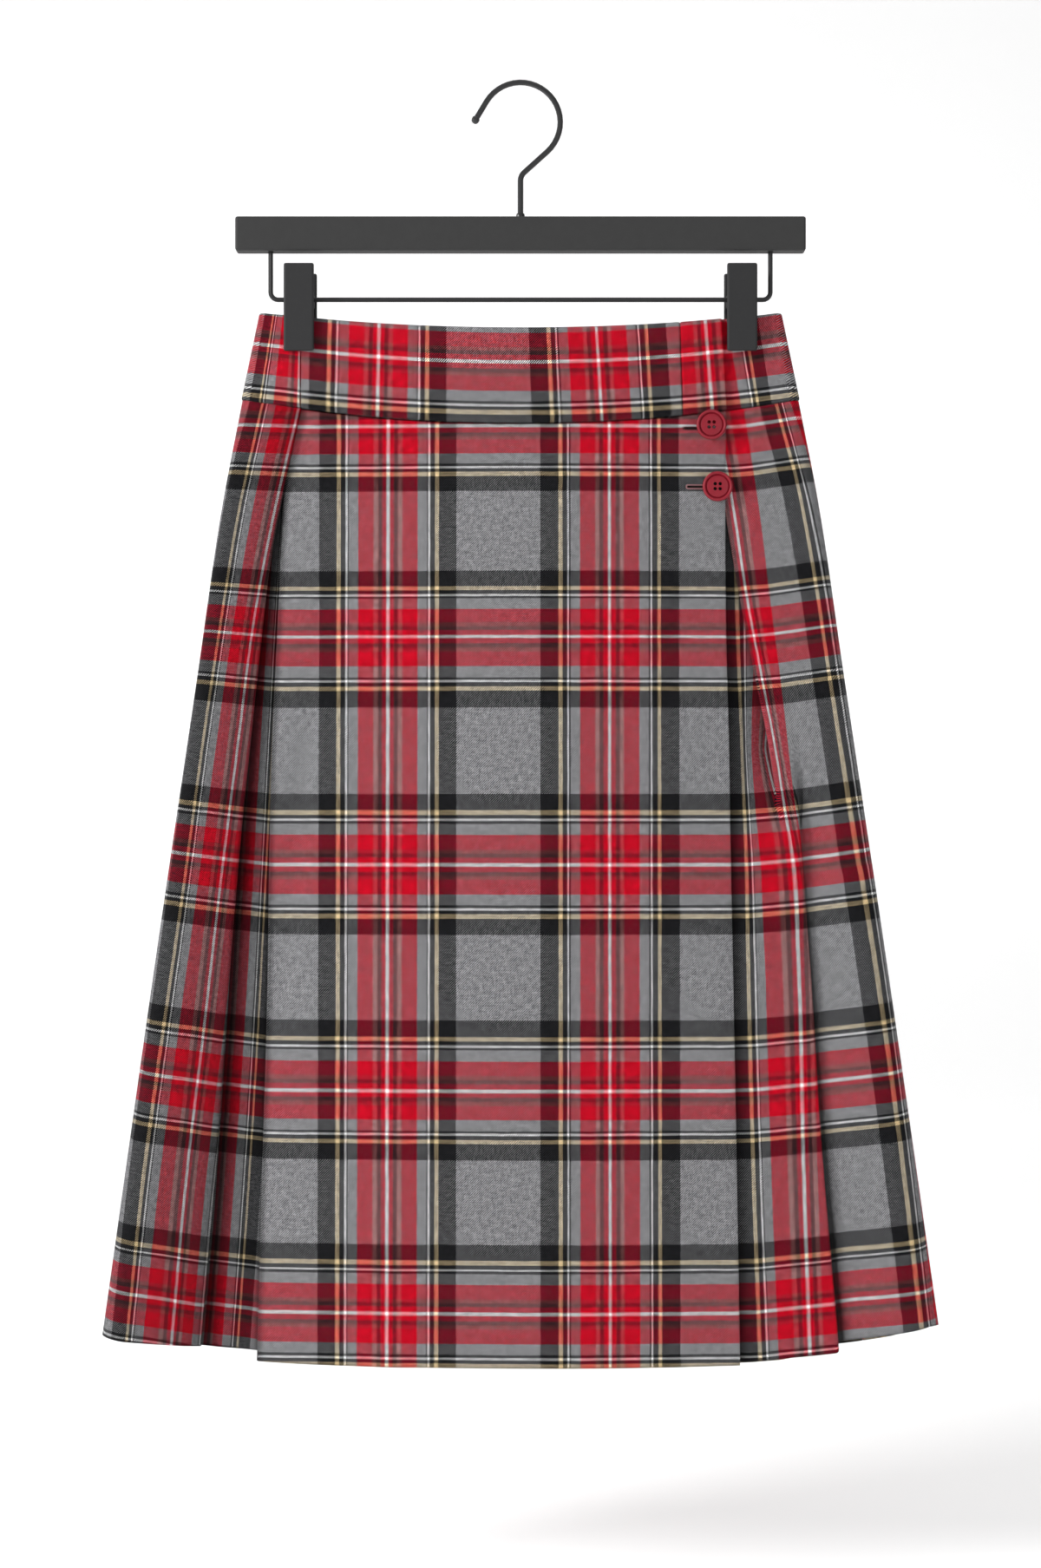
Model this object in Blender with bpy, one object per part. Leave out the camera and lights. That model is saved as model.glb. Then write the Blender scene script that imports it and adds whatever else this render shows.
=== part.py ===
"""Tartan wrap kilt hung by two clips from a bar hanger.

Frame: metres, +Z up, the front of the kilt faces -Y, +X is to the right of someone who looks at
the front. The origin is inside the crown of the hook, where a rail carries the hanger.

The skirt is made of sheets that wrap one shared ring. A point of a sheet is given by its height,
its distance round the ring, and its level: how far outside the ring it lies. Height is -1 at the
top of the waistband, 0 at the waist seam and 1 at the hem. Folds turn a sheet from one level to
the next.
"""

import math

import bmesh
import bpy
import numpy as np
from mathutils import Matrix, Vector

MM = 0.001

# Cloth, in millimetres.
CLOTH = 1.2
BAND_CLOTH = 3.0
SEAM_GAP = 0.3
FOLD_STEPS = 4

# The ring that the sheets wrap, a row for each height.
RING_COLUMNS = ("height", "half_width", "depth", "side_radius", "pitch")
RING = (
    (-1.0, 171.4, 6.0, 2.2, 1.60),
    (0.0, 182.2, 9.0, 3.0, 1.60),
    (0.1, 194.0, 10.5, 4.0, 1.70),
    (0.3, 212.2, 13.0, 5.8, 1.85),
    (0.6, 239.2, 17.0, 8.5, 2.10),
    (1.0, 273.9, 22.0, 12.0, 2.40),
)
SIDE_STACK = 4.0
RING_SAMPLES = 160
CORNER_SAMPLES = 40

# Edges that curve upwards from the centre to the sides: z at the centre, rise at the sides, power.
BAND_TOP = (-163.9, 11.3, 2.0)
WAIST_SEAM = (-228.1, 17.3, 2.0)
HEM = (-850.5, 18.0, 4.0)

# Where the folds and free edges of the front lie, a row for each height.
FRONT_COLUMNS = ("height", "left_fold", "apron_left", "apron_right")
FRONT = (
    (0.00, -145.8, -153.5, 136.4),
    (0.07, -155.0, -156.0, 135.9),
    (0.15, -164.8, -158.8, 135.7),
    (0.25, -172.2, -161.5, 136.3),
    (0.35, -178.6, -164.3, 137.9),
    (0.45, -184.8, -165.8, 138.6),
    (0.62, -194.0, -167.3, 140.4),
    (0.80, -202.6, -170.6, 142.1),
    (1.00, -212.6, -173.7, 143.9),
)
# The side pleat at the right: it starts folded over the apron side and ends folded the other way.
TWIST_COLUMNS = ("height", "side_start", "depth", "turn")
TWIST = (
    (0.00, 126.0, 22.0, 180.0),
    (0.12, 138.6, 18.0, 180.0),
    (0.20, 147.3, 13.0, 180.0),
    (0.28, 158.4, 8.0, 180.0),
    (0.34, 167.4, 4.0, 178.0),
    (0.39, 173.0, 1.6, 130.0),
    (0.43, 178.0, 0.8, 0.0),
    (0.47, 180.6, 2.0, -130.0),
    (0.52, 181.4, 5.5, -178.0),
    (0.60, 178.0, 12.5, -180.0),
    (0.75, 177.0, 19.0, -180.0),
    (1.00, 183.5, 25.0, -180.0),
)

# Hidden and back folds.
APRON_RETURN = 28.0
APRON_RAMP = 100.0
LEFT_RETURN = (24.0, 36.0)
UNDER_END = -110.0
UNDER_SEAM = 118.0
BACK_FOLDS = 8
BACK_PITCHES = 8.2
FIRST_FOLD = 0.8
BACK_RETURN = (28.0, 40.0)
CLEAR_OF_FOLD = 3.0
RISE_LENGTH = 10.0

# Extra rise of a panel's hem over the common hem line.
RIGHT_RISE = {"centre": 1.0, "fold": 1.8, "inner": 8.0, "side": 4.0}
LEFT_RISE = {"side": -2.0, "fold": 7.0, "inner": 6.0, "centre": 3.5}

# Levels of the waistband, at its top and its bottom edge.
BAND_OVER = (4.2, 6.0)
BAND_UNDER = (0.9, 2.4)
BAND_ROUND = (1.6, 3.0)
BAND_LEFT_SEAM = -146.0
TAB_SEAM = (106.0, 107.6)
TAB_END = (134.0, 137.2)
BAND_EASE = 16.0

# Buttons.
BUTTON_RADIUS = 10.0
BUTTON_THICK = 3.6
BUTTON_RIM = 1.2
BUTTON_DISH = 0.8
BUTTON_HOLE = 1.0
BUTTON_HOLE_OFFSET = 1.6
BUTTONS = {
    "button_upper": (126.5, -12.1, -229.0),
    "button_lower": (130.6, -11.6, -269.8),
}

# Hanger.
HOOK_WIRE = 3.8
HOOK_RADIUS = 26.6
HOOK_START = 149.0
HOOK_END = -48.0
HOOK_TIP = 12.0
STEM_BEND = 7.5
STEM_IN_BAR = 14.5
TIP_RADIUS = 2.6
TIP_LENGTH = 4.4
TIP_PROFILE = ((0, 0), (0.75, 0), (1, 0.2), (1, 0.55), (0.75, 0.88), (0.35, 1), (0, 1))
COLLAR_RADIUS = 2.9
COLLAR_HEIGHT = 2.4
BAR_LENGTH = 380.4
BAR_DEPTH = 12.0
BAR_TOP = -88.7
BAR_BOTTOM = -111.5
BAR_ROUND = 1.5
RAIL_WIRE = 3.2
RAIL_HALF = 167.0
RAIL_Z = -143.4
RAIL_BEND = 5.0
RAIL_IN_BAR = 8.5
FIT_GAP = 0.4
CLIP_X = 147.1
CLIP_WIDTH = 20.0
CLIP_TOP = -121.4
CLIP_BOTTOM = -179.7
BACK_JAW_DROP = 2.0
JAW_OUTER = 13.0
JAW_THICK = 3.0
PAD_TOP = -158.5
PAD_INSET = 1.0
GRIP = {
    "clip_left_front_jaw": None,
    "clip_left_back_jaw": 7.2,
    "clip_right_front_jaw": 7.2,
    "clip_right_back_jaw": 7.2,
}
LUG_HALF_HEIGHT = 4.0
LUG_REACH = 3.0
FRONT_LUGS = ((-3.0, 3.0),)
BACK_LUGS = ((-8.6, -4.2), (4.2, 8.6))

HEIGHTS = (0.0, 0.08, 0.18, 0.3, 0.45, 0.62, 0.8, 1.0)
TWIST_HEIGHTS = (0.0, 0.1, 0.2, 0.28, 0.34, 0.37, 0.4, 0.43, 0.46, 0.49, 0.52, 0.6, 0.75, 0.9, 1.0)
BACK_HEIGHTS = (0.0, 0.12, 0.3, 0.55, 0.8, 1.0)
BAND_HEIGHTS = (-1.0, -0.5, 0.0)


# Tables and curves


def table_value(rows, columns, name, height):
    """A smooth curve through one column of a table, straight in the waistband above the seam."""
    heights = np.array([row[0] for row in rows])
    values = np.array([row[columns.index(name)] for row in rows])
    if height < 0:
        return float(np.interp(height, heights, values))
    heights, values = heights[heights >= 0], values[heights >= 0]
    slopes = np.gradient(values, heights)
    row = int(np.clip(np.searchsorted(heights, height) - 1, 0, len(heights) - 2))
    span = heights[row + 1] - heights[row]
    t = (height - heights[row]) / span
    start = (2 * t**3 - 3 * t**2 + 1) * values[row] + (t**3 - 2 * t**2 + t) * span * slopes[row]
    end = (3 * t**2 - 2 * t**3) * values[row + 1] + (t**3 - t**2) * span * slopes[row + 1]
    return float(start + end)


def ring_value(name, height):
    return table_value(RING, RING_COLUMNS, name, height)


def front_value(name, height):
    return table_value(FRONT, FRONT_COLUMNS, name, height)


def twist_value(name, height):
    return table_value(TWIST, TWIST_COLUMNS, name, height)


def between(pair, height):
    """Goes from the pair's first value at the waist seam to its second at the hem."""
    return pair[0] + (pair[1] - pair[0]) * height


def band_level(pair, height):
    """Goes from the pair's first value at the band's top to its second at the waist seam."""
    return pair[1] + (pair[0] - pair[1]) * -height


def ease(t):
    t = min(max(t, 0.0), 1.0)
    return t * t * (3 - 2 * t)


class Ring:
    """The ring at one height: a flat lens with round ends, measured from the front's centre to +X."""

    def __init__(self, height):
        self.height = height
        self.pitch = ring_value("pitch", height)
        self.half_width = ring_value("half_width", height)
        self.radius = ring_value("side_radius", height)
        self.flat = self.half_width - self.radius
        depth = ring_value("depth", height)
        x = np.linspace(0, self.flat, RING_SAMPLES)
        y = -self.radius - (depth - self.radius) * np.cos(math.pi * x / (2 * self.flat)) ** 2
        angle = np.linspace(-math.pi / 2, 0, CORNER_SAMPLES)[1:]
        x = np.concatenate([x, self.flat + self.radius * np.cos(angle)])
        y = np.concatenate([y, self.radius * np.sin(angle)])
        self.x = np.concatenate([x, x[-2::-1], -x[1:], -x[-2::-1]])
        self.y = np.concatenate([y, -y[-2::-1], -y[1:], y[-2::-1]])
        steps = np.hypot(np.diff(self.x), np.diff(self.y))
        self.along = np.concatenate([[0], np.cumsum(steps)])
        self.length = float(self.along[-1])
        self.side_start = float(self.along[RING_SAMPLES - 1])
        self.side_end = self.length / 2 - self.side_start
        self.back_width = 2 * self.side_start

    def front(self, x):
        """Distance round the ring of a point of the front at x."""
        reach = np.interp(abs(x), self.x[:RING_SAMPLES], self.along[:RING_SAMPLES])
        return math.copysign(float(reach), x)

    def left(self, x):
        """The same for a point at the left, reached the long way round the back."""
        return self.length + self.front(x)

    def place(self, along, level):
        """World x and y of points at these distances and levels, in millimetres."""
        step = 0.05
        wrapped = np.mod(along, self.length)
        before = np.mod(along - step, self.length)
        after = np.mod(along + step, self.length)
        tangent_x = np.interp(after, self.along, self.x) - np.interp(before, self.along, self.x)
        tangent_y = np.interp(after, self.along, self.y) - np.interp(before, self.along, self.y)
        size = np.hypot(tangent_x, tangent_y)
        x = np.interp(wrapped, self.along, self.x) + level * tangent_y / size
        y = np.interp(wrapped, self.along, self.y) - level * tangent_x / size
        return x, y


def edge_z(edge, share):
    """Height of an edge at a share of the half width."""
    centre, rise, power = edge
    return centre + rise * np.abs(share) ** power


# Paths round the ring: lists of (distance, level, hem rise)


def run(path, distance, level, steps, rise=None, eased=False):
    """Adds a stretch from the path's last point to a new one."""
    start = path[-1]
    rise = start[2] if rise is None else rise
    for step in range(1, steps + 1):
        t = step / steps
        lift = ease(t) if eased else t
        path.append(
            (
                start[0] + (distance - start[0]) * t,
                start[1] + (level - start[1]) * lift,
                start[2] + (rise - start[2]) * t,
            )
        )


def fold(path, level):
    """Turns the path back on itself, from its level to another."""
    distance, start, rise = path[-1]
    direction = math.copysign(1, distance - path[-2][0])
    middle = (start + level) / 2
    radius = abs(start - level) / 2
    for step in range(1, FOLD_STEPS + 1):
        angle = math.pi * step / FOLD_STEPS
        bulge = direction * radius * math.sin(angle)
        path.append((distance + bulge, middle + (start - middle) * math.cos(angle), rise))


def arc_offsets(turn, length, heading):
    """Steps of a bend of this length, which turns the path by this angle."""
    for step in range(FOLD_STEPS):
        angle = heading + turn * (step + 0.5) / FOLD_STEPS
        chord = length / FOLD_STEPS
        yield chord * math.cos(angle), chord * math.sin(angle)


def twist_steps(ring):
    """The side pleat at the right as steps of (distance, level): bend, hidden stretch, bend back."""
    turn = math.radians(twist_value("turn", ring.height))
    depth = twist_value("depth", ring.height)
    bend = math.pi * ring.pitch / 2
    steps = list(arc_offsets(turn, bend, 0.0))
    for _ in range(2):
        steps.append((depth / 2 * math.cos(turn), depth / 2 * math.sin(turn)))
    steps += list(arc_offsets(-turn, bend, turn))
    return steps


def back_fold(ring, number):
    """Distance round the ring of one fold edge of the back."""
    return ring.side_end + (FIRST_FOLD + number) * ring.back_width / BACK_PITCHES


def pleat_turn(path, ring, number):
    """From a pleat's face round its fold edge and its inner fold, to just inside that fold."""
    fold(path, ring.pitch)
    run(path, back_fold(ring, number) - between(BACK_RETURN, ring.height), ring.pitch, 2)
    fold(path, 0.0)


def seam_behind(ring, number):
    """Distance of the hidden seam behind a fold edge of the back."""
    return back_fold(ring, number) - between(BACK_RETURN, ring.height) / 2


def pleat_rise(path, ring, number):
    """From behind a fold edge, out past it to the surface as the next face."""
    clear = back_fold(ring, number) + CLEAR_OF_FOLD
    run(path, clear, 0.0, 1)
    run(path, clear + RISE_LENGTH, 2 * ring.pitch, 2, eased=True)


# Sections of the sheets


def apron_section(ring):
    left = front_value("apron_left", ring.height)
    right = front_value("apron_right", ring.height)
    edge = ring.front(left) + ring.pitch / 2
    path = [(edge + APRON_RETURN, ring.pitch, 0.0)]
    run(path, edge, ring.pitch, 2)
    fold(path, 2 * ring.pitch)
    run(path, ring.front(-APRON_RAMP), 2 * ring.pitch, 4)
    run(path, ring.front(APRON_RAMP), 3 * ring.pitch, 9, eased=True)
    run(path, ring.front(right), 3 * ring.pitch, 3)
    return path


def under_apron_section(ring):
    path = [(ring.front(UNDER_END), 0.0, 0.0)]
    run(path, ring.front(UNDER_SEAM) - SEAM_GAP, 0.0, 11, rise=RIGHT_RISE["centre"])
    return path


def right_side_section(ring):
    """Under the apron's free edge, the side pleat, the side, and the first pleat of the back."""
    steps = twist_steps(ring)
    rise = sum(step[1] for step in steps)
    reach = sum(step[0] for step in steps)
    inner = ring.pitch - rise / 2
    side_start = ring.front(twist_value("side_start", ring.height))
    fold_start = side_start - reach
    path = [(ring.front(UNDER_SEAM), 0.0, RIGHT_RISE["centre"])]
    ramp_end = ring.front(UNDER_SEAM) + 0.6 * (fold_start - ring.front(UNDER_SEAM))
    run(path, ramp_end, inner, 3, eased=True)
    run(path, fold_start, inner, 3, rise=RIGHT_RISE["fold"])
    lift = (RIGHT_RISE["inner"] - RIGHT_RISE["fold"]) / len(steps)
    for along, level in steps:
        last = path[-1]
        path.append((last[0] + along, last[1] + level, last[2] + lift))
    clear = side_start + max(0.0, twist_value("depth", ring.height)) + CLEAR_OF_FOLD
    run(path, clear, path[-1][1], 2)
    run(path, ring.side_start, 2 * ring.pitch, 4, rise=RIGHT_RISE["side"], eased=True)
    run(path, ring.side_end, 2 * ring.pitch, 8, rise=0.0)
    run(path, back_fold(ring, 0), 2 * ring.pitch, 3)
    pleat_turn(path, ring, 0)
    run(path, seam_behind(ring, 0) - SEAM_GAP / 2, 0.0, 1)
    return path


def back_section(ring, first, last):
    """Pleats of the back from behind one fold edge to behind another."""
    path = [(seam_behind(ring, first) + SEAM_GAP / 2, 0.0, 0.0)]
    for number in range(first, last):
        pleat_rise(path, ring, number)
        run(path, back_fold(ring, number + 1), 2 * ring.pitch, 3)
        pleat_turn(path, ring, number + 1)
    run(path, seam_behind(ring, last) - SEAM_GAP / 2, 0.0, 1)
    return path


def left_side_section(ring):
    """The last pleat's face, the left side to its fold over the apron, and the underlay below it."""
    pitch = ring.pitch
    path = [(seam_behind(ring, BACK_FOLDS - 1) + SEAM_GAP / 2, 0.0, 0.0)]
    pleat_rise(path, ring, BACK_FOLDS - 1)
    side_start = ring.length / 2 + ring.side_start
    side_end = ring.length - ring.side_start
    edge = ring.left(front_value("left_fold", ring.height)) - pitch / 2
    apron = ring.left(front_value("apron_left", ring.height)) - CLEAR_OF_FOLD
    inner = edge - between(LEFT_RETURN, ring.height)

    def level(distance):
        return pitch * (2 + 2 * ease((distance - side_end) / (apron - side_end)))

    run(path, side_start, 2 * pitch, 2)
    run(path, side_end, 2 * pitch, 8, rise=LEFT_RISE["side"])
    for share in np.linspace(0, 1, 7)[1:]:
        distance = side_end + (edge - side_end) * share
        rise = LEFT_RISE["side"] + (LEFT_RISE["fold"] - LEFT_RISE["side"]) * share
        run(path, distance, level(distance), 1, rise=rise)
    fold(path, level(edge) - pitch)
    for share in (0.25, 0.5, 0.75, 1.0):
        distance = edge + (inner - edge) * share
        run(path, distance, level(distance) - pitch, 1)
    path[-1] = (path[-1][0], path[-1][1], LEFT_RISE["inner"])
    fold(path, 0.0)
    apron_edge = ring.left(front_value("apron_left", ring.height)) + pitch / 2
    run(path, apron_edge, 0.0, 4, rise=LEFT_RISE["centre"])
    run(path, apron_edge + APRON_RETURN, 0.0, 2)
    return path


def band_front_section(ring):
    level = band_level(BAND_OVER, ring.height)
    path = [(ring.front(BAND_LEFT_SEAM) + SEAM_GAP, level, 0.0)]
    run(path, ring.front(band_level(TAB_SEAM, ring.height)) - SEAM_GAP, level, 13)
    return path


def band_tab_section(ring):
    level = band_level(BAND_OVER, ring.height)
    path = [(ring.front(band_level(TAB_SEAM, ring.height)), level, 0.0)]
    run(path, ring.front(band_level(TAB_END, ring.height)), level, 2)
    return path


def band_round_section(ring):
    """From the hidden under end, round by the right, the back and the left to the front's seam."""
    under = band_level(BAND_UNDER, ring.height)
    level = band_level(BAND_ROUND, ring.height)
    over = band_level(BAND_OVER, ring.height)
    tab_end = ring.front(band_level(TAB_END, ring.height))
    left_end = ring.length - ring.side_start
    path = [(ring.front(UNDER_END), under, 0.0)]
    run(path, tab_end + SEAM_GAP, under, 12)
    run(path, ring.side_start, level, 3, eased=True)
    run(path, ring.side_end, level, 6)
    run(path, ring.length / 2 + ring.side_start, level, 16)
    run(path, left_end, level, 6)
    run(path, left_end + BAND_EASE, over, 4, eased=True)
    run(path, ring.left(BAND_LEFT_SEAM), over, 2)
    return path


# Objects


def material(name, colour, roughness, metallic=0.0):
    made = bpy.data.materials.new(name)
    made.use_nodes = True
    shader = made.node_tree.nodes["Principled BSDF"]
    shader.inputs["Base Color"].default_value = (*colour, 1.0)
    shader.inputs["Roughness"].default_value = roughness
    shader.inputs["Metallic"].default_value = metallic
    made.diffuse_color = (*colour, 1.0)
    return made


def add_object(name, data, finish):
    obj = bpy.data.objects.new(name, data)
    bpy.context.scene.collection.objects.link(obj)
    data.materials.append(finish)
    return obj


def mesh_object(name, bm, finish):
    bmesh.ops.recalc_face_normals(bm, faces=bm.faces)
    mesh = bpy.data.meshes.new(name)
    bm.to_mesh(mesh)
    bm.free()
    return add_object(name, mesh, finish)


def smooth(obj, angle=35.0):
    obj.data.shade_smooth()
    obj.data.set_sharp_from_angle(angle=math.radians(angle))


def sheet(name, section, heights, thickness, finish):
    """A cloth wall: a grid whose rows are the section at each height, thickened on both sides."""
    rows = []
    for height in heights:
        ring = Ring(height)
        along, level, rise = np.array(section(ring)).T
        x, y = ring.place(along, level)
        share = np.clip(x / (ring.half_width + SIDE_STACK), -1, 1)
        seam = edge_z(WAIST_SEAM, share)
        if height < 0:
            z = seam + (edge_z(BAND_TOP, share) - seam) * -height
        else:
            top = seam - (SEAM_GAP if max(heights) > 0 else 0.0)
            z = top + (edge_z(HEM, share) + rise - top) * height
        rows.append(np.stack([x, y, z], axis=1))
    bm = bmesh.new()
    bmesh.ops.create_grid(bm, x_segments=len(rows[0]) - 1, y_segments=len(rows) - 1, size=1.0)
    bm.verts.ensure_lookup_table()
    for vert, point in zip(bm.verts, np.concatenate(rows), strict=True):
        vert.co = Vector(point) * MM
    mesh = bpy.data.meshes.new(name)
    bm.to_mesh(mesh)
    bm.free()
    obj = add_object(name, mesh, finish)
    wall = obj.modifiers.new("wall", "SOLIDIFY")
    wall.thickness = thickness * MM
    wall.offset = 0.0
    wall.use_even_offset = True
    wall.use_quality_normals = True
    mesh.shade_smooth()
    return obj


def block(name, low, high, finish, bevel=0.0):
    """A box between two corners in millimetres, with rounded edges."""
    bm = bmesh.new()
    bmesh.ops.create_cube(bm, size=1.0)
    size = (Vector(high) - Vector(low)) * MM
    centre = (Vector(high) + Vector(low)) / 2 * MM
    bmesh.ops.scale(bm, vec=size, verts=bm.verts)
    bmesh.ops.translate(bm, vec=centre, verts=bm.verts)
    obj = mesh_object(name, bm, finish)
    if bevel:
        rounding = obj.modifiers.new("rounded edges", "BEVEL")
        rounding.width = bevel * MM
        rounding.segments = 2
        smooth(obj)
    return obj


def rod(name, radius, start, end, finish, sides=16):
    """A straight round rod between two points in millimetres."""
    start, end = Vector(start), Vector(end)
    bm = bmesh.new()
    bmesh.ops.create_cone(
        bm,
        cap_ends=True,
        segments=sides,
        radius1=radius * MM,
        radius2=radius * MM,
        depth=(end - start).length * MM,
    )
    turn = (end - start).to_track_quat("Z", "Y").to_matrix().to_4x4()
    bmesh.ops.transform(bm, matrix=Matrix.Translation((start + end) / 2 * MM) @ turn, verts=bm.verts)
    return mesh_object(name, bm, finish)


def hide(obj):
    obj.hide_render = True
    obj.display_type = "WIRE"
    return obj


def combine(obj, other, operation):
    hide(other)
    modifier = obj.modifiers.new(other.name, "BOOLEAN")
    modifier.operation = operation
    modifier.object = other


def turned(name, profile, finish, sides=24):
    """Spins a half profile of (radius, z) in millimetres, which closes on the axis or on itself."""
    bm = bmesh.new()
    verts = [bm.verts.new((radius * MM, 0, z * MM)) for radius, z in profile]
    edges = [bm.edges.new(pair) for pair in zip(verts, verts[1:])]
    if profile[0][0] > 0:
        edges.append(bm.edges.new((verts[-1], verts[0])))
    bmesh.ops.spin(
        bm,
        geom=verts + edges,
        axis=(0, 0, 1),
        cent=(0, 0, 0),
        angle=math.tau,
        steps=sides,
        use_merge=True,
    )
    bmesh.ops.remove_doubles(bm, verts=bm.verts, dist=1e-6)
    obj = mesh_object(name, bm, finish)
    smooth(obj)
    return obj


def rounded_route(corners, radius, steps=5):
    """Points along straight stretches whose corners are rounded to this radius."""
    points = [Vector(corners[0])]
    for before, corner, after in zip(corners, corners[1:], corners[2:]):
        corner = Vector(corner)
        back = (Vector(before) - corner).normalized()
        ahead = (Vector(after) - corner).normalized()
        half = back.angle(ahead) / 2
        reach = radius / math.tan(half)
        centre = corner + (back + ahead).normalized() * radius / math.sin(half)
        start = corner + back * reach - centre
        end = corner + ahead * reach - centre
        for step in range(steps + 1):
            points.append(centre + start.slerp(end, step / steps) * radius)
    points.append(Vector(corners[-1]))
    return points


def wire(name, points, diameter, finish):
    """A round wire through points in millimetres."""
    curve = bpy.data.curves.new(name, "CURVE")
    curve.dimensions = "3D"
    curve.bevel_depth = diameter / 2 * MM
    curve.bevel_resolution = 4
    curve.use_fill_caps = True
    spline = curve.splines.new("POLY")
    spline.points.add(len(points) - 1)
    for place, point in zip(spline.points, points, strict=True):
        place.co = (*(Vector(point) * MM), 1.0)
    return add_object(name, curve, finish)


def make_hook(finish):
    """The hook, from its tip over the crown and down the stem into the bar, and the cap on its tip."""
    centre = Vector((0, 0, HOOK_WIRE / 2 - HOOK_RADIUS))

    def on_arc(degrees):
        angle = math.radians(degrees)
        return centre + HOOK_RADIUS * Vector((math.cos(angle), 0, math.sin(angle)))

    def heading(degrees):
        angle = math.radians(degrees)
        return Vector((math.sin(angle), 0, -math.cos(angle)))

    tip = on_arc(HOOK_START) - heading(HOOK_START) * HOOK_TIP
    arc_end = on_arc(HOOK_END)
    down = heading(HOOK_END)
    stem_top = arc_end - down * arc_end.x / down.x
    stem_foot = Vector((0, 0, BAR_TOP - STEM_IN_BAR))
    arc = [on_arc(angle) for angle in np.linspace(HOOK_START, HOOK_END, 25)]
    stem = rounded_route((arc_end, stem_top, stem_foot), STEM_BEND)
    wire("hanger_hook", [tip] + arc + stem[1:], HOOK_WIRE, finish)

    outward = -heading(HOOK_START)
    profile = [(radius * TIP_RADIUS, height * TIP_LENGTH) for radius, height in TIP_PROFILE]
    cap = turned("hook_tip", profile, finish, sides=16)
    cap.location = (tip + outward * SEAM_GAP) * MM
    cap.rotation_euler = outward.to_track_quat("Z", "Y").to_euler()


def make_collar(finish):
    bore = HOOK_WIRE / 2 + FIT_GAP
    foot = BAR_TOP + SEAM_GAP
    top = foot + COLLAR_HEIGHT
    waist = foot + 0.55 * COLLAR_HEIGHT
    profile = [
        (bore, foot),
        (COLLAR_RADIUS, foot),
        (COLLAR_RADIUS, waist),
        (bore + 0.35, top),
        (bore, top),
    ]
    turned("hook_collar", profile, finish, sides=16)


def make_bar(finish):
    half_length = BAR_LENGTH / 2
    half_depth = BAR_DEPTH / 2
    low = (-half_length, -half_depth, BAR_BOTTOM)
    high = (half_length, half_depth, BAR_TOP)
    bar = block("hanger_bar", low, high, finish, BAR_ROUND)
    stem = HOOK_WIRE / 2 + FIT_GAP
    foot = BAR_TOP - STEM_IN_BAR - FIT_GAP
    combine(bar, rod("stem_bore", stem, (0, 0, foot), (0, 0, BAR_TOP + 1), finish), "DIFFERENCE")
    leg = RAIL_WIRE / 2 + FIT_GAP
    head = BAR_BOTTOM + RAIL_IN_BAR + FIT_GAP
    for side in (-1, 1):
        x = side * RAIL_HALF
        bore = rod(f"leg_bore_{side}", leg, (x, 0, BAR_BOTTOM - 1), (x, 0, head), finish)
        combine(bar, bore, "DIFFERENCE")


def make_rail(finish):
    head = BAR_BOTTOM + RAIL_IN_BAR
    corners = [
        (-RAIL_HALF, 0, head),
        (-RAIL_HALF, 0, RAIL_Z),
        (RAIL_HALF, 0, RAIL_Z),
        (RAIL_HALF, 0, head),
    ]
    wire("clip_rail", rounded_route(corners, RAIL_BEND), RAIL_WIRE, finish)


def make_jaw(name, centre, side, top, lugs, finish):
    """One jaw of a clip, side -1 for the front and 1 for the back, with its lugs round the rail."""
    half = CLIP_WIDTH / 2
    inner = JAW_OUTER - JAW_THICK
    depths = sorted((side * inner, side * JAW_OUTER))
    low = (centre - half, depths[0], CLIP_BOTTOM)
    high = (centre + half, depths[1], top)
    jaw = block(name, low, high, finish, bevel=1.2)
    if GRIP[name] is not None:
        depths = sorted((side * GRIP[name], side * (inner + 1)))
        low = (centre - half + PAD_INSET, depths[0], CLIP_BOTTOM + PAD_INSET)
        high = (centre + half - PAD_INSET, depths[1], PAD_TOP)
        combine(jaw, block(f"{name}_pad", low, high, finish), "UNION")
    for number, (start, end) in enumerate(lugs):
        depths = sorted((side * (inner + 1), -side * LUG_REACH))
        low = (centre + start, depths[0], RAIL_Z - LUG_HALF_HEIGHT)
        high = (centre + end, depths[1], RAIL_Z + LUG_HALF_HEIGHT)
        combine(jaw, block(f"{name}_lug_{number}", low, high, finish), "UNION")
    bore = RAIL_WIRE / 2 + FIT_GAP
    ends = (centre - half - 1, 0, RAIL_Z), (centre + half + 1, 0, RAIL_Z)
    combine(jaw, rod(f"{name}_bore", bore, *ends, finish), "DIFFERENCE")


def make_button(name, place, finish):
    """A four-hole button with a raised rim, its back at the given place and its face towards -Y."""
    inside = BUTTON_RADIUS - BUTTON_RIM
    dish = BUTTON_THICK - BUTTON_DISH
    profile = [
        (0, 0),
        (BUTTON_RADIUS - 1.2, 0),
        (BUTTON_RADIUS - 0.3, 0.6),
        (BUTTON_RADIUS, 0.5 * BUTTON_THICK),
        (BUTTON_RADIUS - 0.15, BUTTON_THICK - 0.3),
        (BUTTON_RADIUS - 0.5, BUTTON_THICK),
        (inside + 0.2, BUTTON_THICK),
        (inside - 0.1, dish - 0.1),
        (inside - 1.0, dish),
        (0, dish),
    ]
    button = turned(name, profile, finish, sides=32)
    for number, (x, y) in enumerate(((-1, -1), (1, -1), (1, 1), (-1, 1))):
        spot = (x * BUTTON_HOLE_OFFSET, y * BUTTON_HOLE_OFFSET)
        ends = (*spot, -1), (*spot, BUTTON_THICK + 1)
        hole = rod(f"{name}_hole_{number}", BUTTON_HOLE, *ends, finish, sides=12)
        hole.parent = button
        combine(button, hole, "DIFFERENCE")
    button.location = Vector(place) * MM
    button.rotation_euler = (math.radians(90), 0, 0)


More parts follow.
